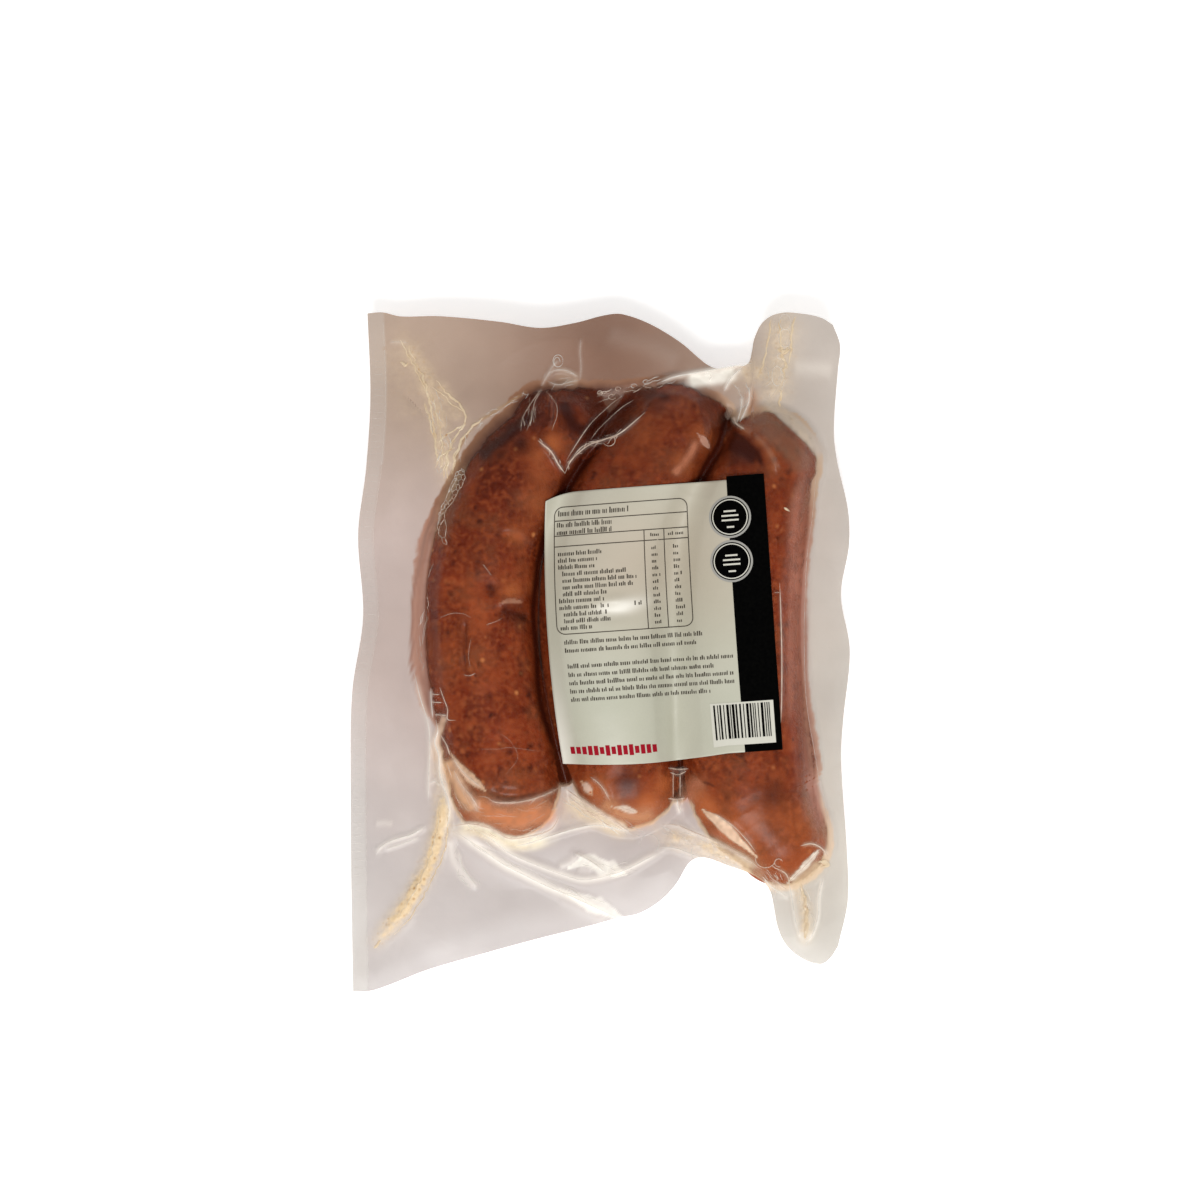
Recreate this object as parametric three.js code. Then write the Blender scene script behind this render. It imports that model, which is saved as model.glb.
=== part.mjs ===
// Three fat sausage links in a clear vacuum-sealed pouch, lying on its back with a paper label on top.
// Millimetres, +Z up. X runs across the links, Y along them, and the pouch lies on the plane z = 0.
// The pouch is one closed solid: two film sheets drawn tight over the links, with a wide wavy margin
// of film around them at half height. The label is a thin sheet stuck on the upper film.
import * as THREE from "three";
import { mergeVertices } from "three/addons/utils/BufferGeometryUtils.js";

// Heights of the pack
const seamHeight = 13; // the plane where the two films meet between links and margin
const crownRise = 14.5; // from the seam up to the top of the fattest link
const bellyDrop = 15.5; // from the seam down to the underside, if no table flattened it
const filmHalf = 0.4; // half the thickness of the doubled film with the air left in it
const weldHalf = 0.25; // half the thickness of the welded strip
const weldWidth = 4.5; // the welded strip along the left edge
const bridgeWidth = 3.6; // how far from a link the taut film meets the margin
const fattest = 18.8; // half-width of the fattest link, which has the full crown rise

// The loose margin
const droop = 4.5; // how far the far corners of the margin sag
const droopReach = 52; // distance from the links where the whole sag is reached
const waveHeight = 1.7;
const waveLength = 64;
const waveSlant = 0.6; // the waves run across the pack at a slant
const waveReach = 12; // distance from the links where the waves are full
const lowestFilm = 0.6; // the margin stays this far above the table

// The label
const labelBridge = 8; // the stiffer label spans the valley between links more widely than the film
const labelGap = 0.5; // to the film under it
const labelThickness = 0.35;

// Grid of the pouch: film margin, three links and film margin across, margin, links and margin along
const marginColumns = 4;
const linkColumns = 10;
const rightColumns = 3;
const marginRows = 6;
const linkRows = 40;
const endCrowding = 0.62; // 0 spaces the rows along the links evenly, 1 packs them at the ends
const labelColumns = 16;
const labelRows = 14;

// Outline of the pouch. The left and right edges give x at a height y, the others y at an x.
const leftEdge = [
  [99.7, -68.7], [75, -67.8], [54, -69], [34.5, -71.4], [10.4, -69.9], [-11, -73], [-31.6, -73.6],
  [-99.7, -73],
];
const rightEdge = [
  [96.2, 68.1], [90.3, 70.2], [83, 69.6], [65.3, 68.4], [56.5, 69.3], [41.9, 72.5], [31.6, 72.8],
  [16.9, 70.5], [0.7, 73.1], [-19.8, 71.1], [-31.6, 70.5], [-58, 72.2], [-72.7, 72.5],
  [-86.2, 69.6],
];
const topEdge = [
  [-68.7, 99.7], [-64.3, 100], [-59, 98.8], [-47.3, 98.8], [-29.7, 97.1], [-17.9, 95.3],
  [-7.6, 96.8], [1.2, 99.1], [6.2, 99.4], [14.4, 96.5], [23.2, 91.2], [32.6, 83.8], [39.4, 84.1],
  [43.8, 85.6], [44.9, 91.8], [47.6, 97.1], [52.6, 99.7], [59.9, 99.4], [64.9, 98.2], [68.1, 96.2],
];
const bottomEdge = [
  [-73.1, -99.7], [-68.4, -99.7], [-62.6, -97.9], [-51.7, -93.5], [-40.2, -90], [-20.9, -84.7],
  [-3.2, -80.3], [5, -78], [11.5, -76.5], [17.6, -72.7], [22, -68], [25.8, -61.8], [29.7, -60.1],
  [37, -62.4], [45.8, -65.9], [49.9, -70.6], [51.7, -80], [54, -85.3], [58.4, -89.4],
  [64.3, -91.5], [67.3, -89.7], [69.6, -86.2],
];

// Lines that the grid follows: past the ends of the links, beside them and along the two valleys
const aboveLinks = [
  [-73.1, 65.3], [-47.3, 66.8], [-35.5, 70.6], [-20.9, 77.1], [-9.1, 78.9], [2.6, 77.7],
  [14.4, 79.4], [29.1, 78.6], [37.9, 75], [46.7, 73.6], [55.5, 67.1], [62, 61.8], [73.1, 58],
];
const belowLinks = [
  [-73.1, -52.7], [-47.3, -52.7], [-35.5, -55.1], [-26.7, -55.9], [-15, -53.9], [-7.6, -48.6],
  [-0.3, -51.2], [10.3, -53.3], [19.7, -49.8], [26.1, -52.7], [36.4, -58.9], [45.8, -63.3],
  [55.5, -69.2], [67.3, -66.2], [73.1, -65.6],
];
const leftOfLinks = [
  [80, -47.3], [62.4, -44.3], [50.7, -45.5], [35.7, -50.8], [21.3, -53.7], [-2.2, -55.2],
  [-19.8, -52.6], [-49.2, -47.9], [-99.7, -53.2],
];
const firstValley = [
  [99.7, -0.3], [74.2, -0.3], [59.5, -4.7], [51.8, -10.6], [35.7, -16.2], [15.4, -18.8],
  [-3.7, -18.2], [-21.9, -15.3], [-38.3, -10.3], [-49.2, -9.1], [-60.9, -10.6], [-87.4, -12],
];
const secondValley = [
  [85.9, 41.4], [69.8, 36.4], [51, 27.3], [38.9, 23.2], [12.5, 19.7], [-2.2, 19.7], [-29.8, 22.3],
  [-47.7, 24.4], [-60.9, 28.5],
];
const rightOfLinks = [
  [99.7, 59.9], [65.3, 60.2], [53.6, 63.7], [27.2, 61.7], [0.7, 60.8], [-29.8, 63.4], [-58, 67.8],
  [-78.6, 66.1], [-90.9, 64.9],
];

// The links, each as [x, y, half-width] along its middle line from the lower end to the upper one
const links = [
  [
    [-28.2, -38.9, 15.6], [-30.5, -25.7, 16.1], [-34.4, -3.7, 15.9], [-34.9, 12.5, 16],
    [-32.9, 31.6, 15.6], [-23.2, 52.1, 14.4], [-11.2, 65.3, 11.2],
  ],
  [
    [7.6, -36, 15], [3.5, -18.4, 17.6], [1.5, 0.7, 18.5], [1.2, 18.4, 18.6], [4.1, 36, 18.2],
    [11.7, 52.1, 16.7], [20.9, 64.2, 14.4],
  ],
  [
    [52.9, -54.5, 13.2], [46.1, -43.9, 17.6], [43.2, -31.6, 18.8], [41.4, -15.4, 17.9],
    [39.9, 3.7, 17.9], [40.5, 22.8, 17.9], [43.2, 40.4, 17.4], [48.5, 55.9, 14.4],
  ],
].map((points) => smoothLine(points, 28));

// Swollen creases in the margin, where fat and juice are caught between the films, with width and height
const creases = [
  {
    line: [[-42.9, -40.4], [-45.2, -52.1], [-50.2, -63.9], [-56.1, -74.2], [-62.6, -83]],
    width: 2.6,
    height: 1.5,
  },
  { line: [[-38.5, 59.5], [-45.8, 68.3], [-51.7, 78.6], [-56.7, 85.9]], width: 2.6, height: 1 },
  { line: [[50.2, 68.3], [52, 80], [53.2, 90.3], [54.9, 96]], width: 3, height: 1 },
  { line: [[55.5, -66.8], [59.9, -74.2], [60.2, -84.4]], width: 2.6, height: 1.3 },
].map(({ line, width, height }) => {
  const points = line.map(([x, y]) => [x, y, width]);
  return { line: smoothLine(points, 12), width, height };
});

// The label's corners seen from above, from the upper left one clockwise, and the bow of its two sides
const labelCorners = [[-16.1, 44.1], [47.7, 51.3], [53.2, -28.3], [-11.2, -32.6]];
const labelSideBow = 2.2;

function smoothLine(points, pieces) {
  return new THREE.CatmullRomCurve3(points.map((p) => new THREE.Vector3(...p))).getSpacedPoints(pieces);
}

const mix = THREE.MathUtils.lerp;

// A smooth value through [position, value] pairs, level beyond the first and the last
function along(pairs, at) {
  const rising = pairs[0][0] < pairs[pairs.length - 1][0] ? pairs : [...pairs].reverse();
  const last = rising.length - 1;
  if (at <= rising[0][0]) return rising[0][1];
  if (at >= rising[last][0]) return rising[last][1];
  const i = rising.findIndex(([position]) => position > at) - 1;
  const slope = (a, b) => (rising[b][1] - rising[a][1]) / (rising[b][0] - rising[a][0]);
  const step = rising[i + 1][0] - rising[i][0];
  const slopeIn = slope(Math.max(i - 1, 0), i + 1) * step;
  const slopeOut = slope(i, Math.min(i + 2, last)) * step;
  const t = (at - rising[i][0]) / step;
  const value = (1 + 2 * t) * (1 - t) ** 2 * rising[i][1] + t * t * (3 - 2 * t) * rising[i + 1][1];
  return value + t * (1 - t) ** 2 * slopeIn - t * t * (1 - t) * slopeOut;
}

// The nearest place on a line of points that carry their half-width as z
function nearest(line, x, y) {
  let best = { distance: Infinity, width: 1 };
  for (let i = 1; i < line.length; i++) {
    const a = line[i - 1];
    const dx = line[i].x - a.x;
    const dy = line[i].y - a.y;
    const t = THREE.MathUtils.clamp(((x - a.x) * dx + (y - a.y) * dy) / (dx * dx + dy * dy), 0, 1);
    const distance = Math.hypot(x - a.x - t * dx, y - a.y - t * dy);
    if (distance < best.distance) best = { distance, width: mix(a.z, line[i].z, t) };
  }
  return best;
}

// Height of a taut sheet over one link, as a share of the full rise: round over the link,
// then a straight run that leaves it at a tangent and meets the margin with a small fillet
function rise({ distance, width }, bridge) {
  const q = distance / width;
  const edge = 1 + bridge / width;
  const touch = 1 / edge;
  const plump = Math.pow(width / fattest, 0.7);
  if (q < touch) return plump * Math.sqrt(1 - q * q);
  if (q > edge) return 0;
  return plump * Math.sqrt(1 - touch * touch) * Math.pow((edge - q) / (edge - touch), 1.25);
}

// Height of a taut sheet over all three links, rounded in the valleys
function bulge(x, y, bridge, roundness) {
  const rises = links.map((link) => rise(nearest(link, x, y), bridge));
  return Math.pow(rises.reduce((sum, share) => sum + Math.pow(share, roundness), 0), 1 / roundness);
}

function creaseRise(x, y) {
  return creases.reduce((sum, crease) => {
    const { distance } = nearest(crease.line, x, y);
    return sum + crease.height * Math.exp(-((distance / crease.width) ** 2));
  }, 0);
}

// Height of the middle of the margin: level at the links, then sagging in slow waves
function margin(x, y) {
  const gaps = links.map((link) => {
    const { distance, width } = nearest(link, x, y);
    return distance - width - bridgeWidth;
  });
  const outside = Math.max(0, Math.min(...gaps));
  const away = Math.min(1, outside / droopReach);
  const ripple = Math.sin((2 * Math.PI * (y + waveSlant * x)) / waveLength);
  const wave = waveHeight * ripple * Math.min(1, outside / waveReach);
  const height = seamHeight - droop * Math.pow(away, 1.4) + wave;
  return Math.max(height, lowestFilm + 2 * filmHalf);
}

const pouchGrid = (() => {
  const columns = [];
  const band = (from, to, count, spread) => {
    for (let i = columns.length ? 1 : 0; i <= count; i++) {
      columns.push({ from, to, share: spread(i / count) });
    }
  };
  const even = (t) => t;
  const round = (t) => (1 - Math.cos(Math.PI * t)) / 2;
  const weldLine = leftEdge.map(([y, x]) => [y, x + weldWidth]);
  band(leftEdge, weldLine, 1, even);
  band(weldLine, leftOfLinks, marginColumns, even);
  band(leftOfLinks, firstValley, linkColumns, round);
  band(firstValley, secondValley, linkColumns, round);
  band(secondValley, rightOfLinks, linkColumns, round);
  band(rightOfLinks, rightEdge, rightColumns, even);

  const rows = [];
  for (let i = 0; i <= marginRows; i++) {
    rows.push({ from: bottomEdge, to: belowLinks, share: i / marginRows });
  }
  for (let i = 1; i <= linkRows; i++) {
    const t = i / linkRows;
    const shift = (endCrowding * Math.sin(2 * Math.PI * t)) / (2 * Math.PI);
    rows.push({ from: belowLinks, to: aboveLinks, share: t - shift });
  }
  for (let i = 1; i <= marginRows; i++) {
    rows.push({ from: aboveLinks, to: topEdge, share: i / marginRows });
  }
  return { columns, rows };
})();

// Where a column and a row of the grid cross, found by going back and forth between them
function crossing(column, row) {
  let x = 0;
  let y = 0;
  for (let turn = 0; turn < 12; turn++) {
    x = mix(along(column.from, y), along(column.to, y), column.share);
    y = mix(y, mix(along(row.from, x), along(row.to, x), row.share), 0.7);
  }
  return [x, y];
}

// A closed sheet: a box with fine front and back faces, each vertex moved to place(column, row, upper)
function sheet(columnCount, rowCount, place) {
  const box = new THREE.BoxGeometry(1, 1, 1, columnCount, rowCount, 1);
  const position = box.getAttribute("position");
  for (let i = 0; i < position.count; i++) {
    const column = Math.round((position.getX(i) + 0.5) * columnCount);
    const row = Math.round((position.getY(i) + 0.5) * rowCount);
    position.setXYZ(i, ...place(column, row, position.getZ(i) > 0));
  }
  box.deleteAttribute("uv");
  box.deleteAttribute("normal");
  const closed = mergeVertices(box, 1e-4);
  closed.computeVertexNormals();
  return closed;
}

function makePouch() {
  const { columns, rows } = pouchGrid;
  const crossings = columns.map((column) => rows.map((row) => crossing(column, row)));
  return sheet(columns.length - 1, rows.length - 1, (column, row, upper) => {
    const [x, y] = crossings[column][row];
    const half = (column < 2 ? weldHalf : filmHalf) + (column < 2 ? 0 : creaseRise(x, y));
    const share = bulge(x, y, bridgeWidth, 5);
    if (upper) return [x, y, margin(x, y) + half + crownRise * share];
    return [x, y, Math.max(0, margin(x, y) - half - bellyDrop * share)];
  });
}

function makeLabel() {
  const [upperLeft, upperRight, lowerRight, lowerLeft] = labelCorners;
  return sheet(labelColumns, labelRows, (column, row, upper) => {
    const u = column / labelColumns;
    const v = row / labelRows;
    const bow = labelSideBow * 4 * v * (1 - v) * (1 - u);
    const x = mix(mix(lowerLeft[0], upperLeft[0], v), mix(lowerRight[0], upperRight[0], v), u) - bow;
    const y = mix(mix(lowerLeft[1], lowerRight[1], u), mix(upperLeft[1], upperRight[1], u), v);
    const film = margin(x, y) + filmHalf + crownRise * bulge(x, y, labelBridge, 3);
    return [x, y, film + labelGap + (upper ? labelThickness : 0)];
  });
}

const pouch = new THREE.Mesh(
  makePouch(),
  new THREE.MeshStandardMaterial({ color: 0x8a4a30, roughness: 0.25, metalness: 0 }),
);
pouch.name = "pouch";

const label = new THREE.Mesh(
  makeLabel(),
  new THREE.MeshStandardMaterial({ color: 0xc2c1ad, roughness: 0.5, metalness: 0 }),
);
label.name = "label";

const pack = new THREE.Group();
pack.add(pouch, label);

export default pack;
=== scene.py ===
import math

import bpy
import numpy as np
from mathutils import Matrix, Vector
from mathutils.geometry import delaunay_2d_cdt


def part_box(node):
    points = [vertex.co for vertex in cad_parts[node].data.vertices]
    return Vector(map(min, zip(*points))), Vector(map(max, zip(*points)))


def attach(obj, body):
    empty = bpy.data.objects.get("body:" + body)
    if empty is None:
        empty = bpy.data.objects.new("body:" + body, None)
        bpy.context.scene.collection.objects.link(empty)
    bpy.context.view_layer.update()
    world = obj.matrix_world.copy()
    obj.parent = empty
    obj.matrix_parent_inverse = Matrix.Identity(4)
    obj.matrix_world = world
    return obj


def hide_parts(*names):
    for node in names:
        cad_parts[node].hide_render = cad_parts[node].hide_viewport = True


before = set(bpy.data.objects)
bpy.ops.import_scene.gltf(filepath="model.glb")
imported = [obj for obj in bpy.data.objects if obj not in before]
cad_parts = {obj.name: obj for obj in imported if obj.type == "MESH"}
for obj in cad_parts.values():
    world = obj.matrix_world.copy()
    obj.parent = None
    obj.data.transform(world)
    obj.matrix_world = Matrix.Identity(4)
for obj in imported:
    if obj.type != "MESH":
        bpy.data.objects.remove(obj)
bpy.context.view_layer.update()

# Forms are worked out in millimetres, x across the links and y along them, and made metres in the meshes.
mm = 0.001
pouchLow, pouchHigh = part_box("pouch")
photo = {"x": 601.0, "y": 652.5, "length": 680.0}   # middle and length of the pouch in the photo, pixels
pixel = (pouchHigh.y - pouchLow.y) / mm / photo["length"]   # millimetres to a pixel
rng = np.random.default_rng(11)


def fromPhoto(points):   # pixels of the photo to millimetres on the pack
    p = np.array(points, float).reshape(-1, 2)
    return np.column_stack([(p[:, 0] - photo["x"]) * pixel, (photo["y"] - p[:, 1]) * pixel])


def smoothStep(low, high, value):
    t = np.clip((value - low) / (high - low), 0, 1)
    return t * t * (3 - 2 * t)


def mix(a, b, t):
    return a + (b - a) * t


def smoothLine(points, step=0.6):   # a Catmull-Rom curve through the points, with even steps
    p = np.array(points, float)
    padded = np.vstack([2 * p[0] - p[1], p, 2 * p[-1] - p[-2]])
    pieces = []
    for i in range(len(p) - 1):
        a, b, c, d = padded[i:i + 4]
        t = np.linspace(0, 1, 16, endpoint=False)[:, None]
        curve = 2 * b + (c - a) * t + (2 * a - 5 * b + 4 * c - d) * t**2
        pieces.append(0.5 * (curve + (3 * b - a - 3 * c + d) * t**3))
    fine = np.vstack(pieces + [p[-1:]])
    run = np.concatenate([[0], np.cumsum(np.linalg.norm(np.diff(fine[:, :2], axis=0), axis=1))])
    even = np.linspace(0, run[-1], max(3, int(run[-1] / step) + 2))
    return np.column_stack([np.interp(even, run, fine[:, k]) for k in range(fine.shape[1])])


def nearest(line, x, y):   # distance to a line, its third value there and the place along it
    distance = np.full(np.shape(x), np.inf)
    width = np.ones(np.shape(x))
    place = np.zeros(np.shape(x))
    last = len(line) - 1
    for i in range(last):
        ax, ay = line[i][:2]
        dx, dy = line[i + 1][:2] - line[i][:2]
        t = np.clip(((x - ax) * dx + (y - ay) * dy) / (dx * dx + dy * dy), 0, 1)
        d = np.hypot(x - ax - t * dx, y - ay - t * dy)
        closer = d < distance
        distance = np.where(closer, d, distance)
        place = np.where(closer, (i + t) / last, place)
        if line.shape[1] > 2:
            width = np.where(closer, mix(line[i][2], line[i + 1][2], t), width)
    return distance, width, place


def along(pairs, at):   # a smooth value through [position, value] pairs
    p = np.array(sorted(pairs), float)
    pos, val = p[:, 0], p[:, 1]
    slope = np.empty(len(p))
    slope[1:-1] = (val[2:] - val[:-2]) / (pos[2:] - pos[:-2])
    slope[0] = (val[1] - val[0]) / (pos[1] - pos[0])
    slope[-1] = (val[-1] - val[-2]) / (pos[-1] - pos[-2])
    at = np.clip(at, pos[0], pos[-1])
    i = np.clip(np.searchsorted(pos, at, side="right") - 1, 0, len(p) - 2)
    step = pos[i + 1] - pos[i]
    t = (at - pos[i]) / step
    value = (1 + 2 * t) * (1 - t) ** 2 * val[i] + t * t * (3 - 2 * t) * val[i + 1]
    return value + step * (t * (1 - t) ** 2 * slope[i] - t * t * (1 - t) * slope[i + 1])


def softNoise(x, y, size, seed):   # smooth random values from -1 to 1, with lumps of the given size
    table = np.random.default_rng(seed).uniform(-1, 1, (64, 64))
    u, v = np.asarray(x) / size + 1000, np.asarray(y) / size + 1000
    i, j = np.floor(u).astype(int), np.floor(v).astype(int)
    s, t = u - i, v - j
    s, t = s * s * (3 - 2 * s), t * t * (3 - 2 * t)
    corner = lambda a, b: table[(i + a) % 64, (j + b) % 64]
    return mix(mix(corner(0, 0), corner(1, 0), s), mix(corner(0, 1), corner(1, 1), s), t)


# The pack's form, the same as the solid's
heights = {
    "seam": 13.0, "crownRise": 14.5, "bellyDrop": 15.5, "bridge": 3.6, "roundness": 5, "fattest": 18.8,
    "droop": 4.5, "droopReach": 52.0, "wave": 1.7, "waveLength": 64.0, "waveSlant": 0.6,
    "waveReach": 12.0, "lowest": 1.4,
    "film": 0.2,   # each film above or below the middle of the margin
    "fat": 0.28, "weldWidth": 4.5, "underside": 0.06,
}
outline = {   # each side as pairs: a place along it and where the edge lies there, in millimetres
    "left": [
        [99.7, -68.7], [75, -67.8], [54, -69], [34.5, -71.4], [10.4, -69.9], [-11, -73], [-31.6, -73.6],
        [-99.7, -73],
    ],
    "right": [
        [96.2, 68.1], [90.3, 70.2], [83, 69.6], [65.3, 68.4], [56.5, 69.3], [41.9, 72.5], [31.6, 72.8],
        [16.9, 70.5], [0.7, 73.1], [-19.8, 71.1], [-31.6, 70.5], [-58, 72.2], [-72.7, 72.5],
        [-86.2, 69.6],
    ],
    "top": [
        [-68.7, 99.7], [-64.3, 100], [-59, 98.8], [-47.3, 98.8], [-29.7, 97.1], [-17.9, 95.3],
        [-7.6, 96.8], [1.2, 99.1], [6.2, 99.4], [14.4, 96.5], [23.2, 91.2], [32.6, 83.8], [39.4, 84.1],
        [43.8, 85.6], [44.9, 91.8], [47.6, 97.1], [52.6, 99.7], [59.9, 99.4], [64.9, 98.2],
        [68.1, 96.2],
    ],
    "bottom": [
        [-73.1, -99.7], [-68.4, -99.7], [-62.6, -97.9], [-51.7, -93.5], [-40.2, -90], [-20.9, -84.7],
        [-3.2, -80.3], [5, -78], [11.5, -76.5], [17.6, -72.7], [22, -68], [25.8, -61.8], [29.7, -60.1],
        [37, -62.4], [45.8, -65.9], [49.9, -70.6], [51.7, -80], [54, -85.3], [58.4, -89.4],
        [64.3, -91.5], [67.3, -89.7], [69.6, -86.2],
    ],
}
links = {   # middle line of each link from its lower end up, with the half-width
    "linkLeft": [
        [-28.2, -38.9, 15.6], [-30.5, -25.7, 16.1], [-34.4, -3.7, 15.9], [-34.9, 12.5, 16],
        [-32.9, 31.6, 15.6], [-23.2, 52.1, 14.4], [-11.2, 65.3, 11.2],
    ],
    "linkMiddle": [
        [7.6, -36, 15], [3.5, -18.4, 17.6], [1.5, 0.7, 18.5], [1.2, 18.4, 18.6], [4.1, 36, 18.2],
        [11.7, 52.1, 16.7], [20.9, 64.2, 14.4],
    ],
    "linkRight": [
        [52.9, -54.5, 13.2], [46.1, -43.9, 17.6], [43.2, -31.6, 18.8], [41.4, -15.4, 17.9],
        [39.9, 3.7, 17.9], [40.5, 22.8, 17.9], [43.2, 40.4, 17.4], [48.5, 55.9, 14.4],
    ],
}
folds = {   # meat squeezed between the upper ends of the links, and dark fillers in the lower gaps that stand for shade
    "foldLeft": [[-15.6, 66.2, 10.4], [-6, 66.4, 10.8], [6, 68, 9.4], [14, 69, 9]],
    "foldRight": [[22, 65, 10.2], [26, 65.8, 10.3], [29, 65.5, 9.6]],
    "gapLeft": [[-17.4, -10, 2.4], [-15.4, -21, 2.6], [-13, -29, 2.8], [-11, -36, 2.6]],
    "gapRight": [[21.6, -26, 2.6], [22.1, -34, 2.8], [22.4, -41, 2.4]],
}
# how much painted shade each of these pieces gets
foldShade = {"foldLeft": 0.5, "foldRight": 0.35, "gapLeft": 0.85, "gapRight": 0.9}
linkLines = {name: smoothLine(points, 4.0) for name, points in links.items()}
foldLines = {name: smoothLine(points, 4.0) for name, points in folds.items()}


def plumpness(width):
    return (width / heights["fattest"]) ** 0.7


def rise(distance, width, bridge):   # share of the full rise of a taut sheet over one link
    q = distance / width
    edge = 1 + bridge / width
    touch = 1 / edge
    over = np.sqrt(np.clip(1 - q * q, 0, 1))
    past = np.sqrt(1 - touch**2) * (np.clip(edge - q, 0, None) / (edge - touch)) ** 1.25
    return plumpness(width) * np.where(q < touch, over, past)


def bulge(x, y, bridge, roundness):
    total = sum(rise(*nearest(line, x, y)[:2], bridge) ** roundness for line in linkLines.values())
    return total ** (1 / roundness)


def outside(x, y):   # distance beyond the foot of the taut film, 0 on the links
    gaps = [d - w - heights["bridge"] for d, w, _ in (nearest(line, x, y) for line in linkLines.values())]
    return np.maximum(0, np.minimum.reduce(gaps))


def meatEdge(x, y):   # distance beyond the meat, and how narrow the gap between two links is
    reach = [d - w for d, w, _ in (nearest(line, x, y) for line in linkLines.values())]
    spare = [d - w for d, w, _ in (nearest(line, x, y) for line in foldLines.values())]
    two = np.sort(np.array(reach), axis=0)[:2].sum(0)
    return np.minimum.reduce(reach + spare), two


def marginHeight(x, y, away):
    share = np.minimum(1, away / heights["droopReach"])
    phase = 2 * np.pi * (y + heights["waveSlant"] * x) / heights["waveLength"]
    wave = np.sin(phase) * heights["wave"] * np.minimum(1, away / heights["waveReach"])
    return np.maximum(heights["seam"] - heights["droop"] * share**1.4 + wave, heights["lowest"])
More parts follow.
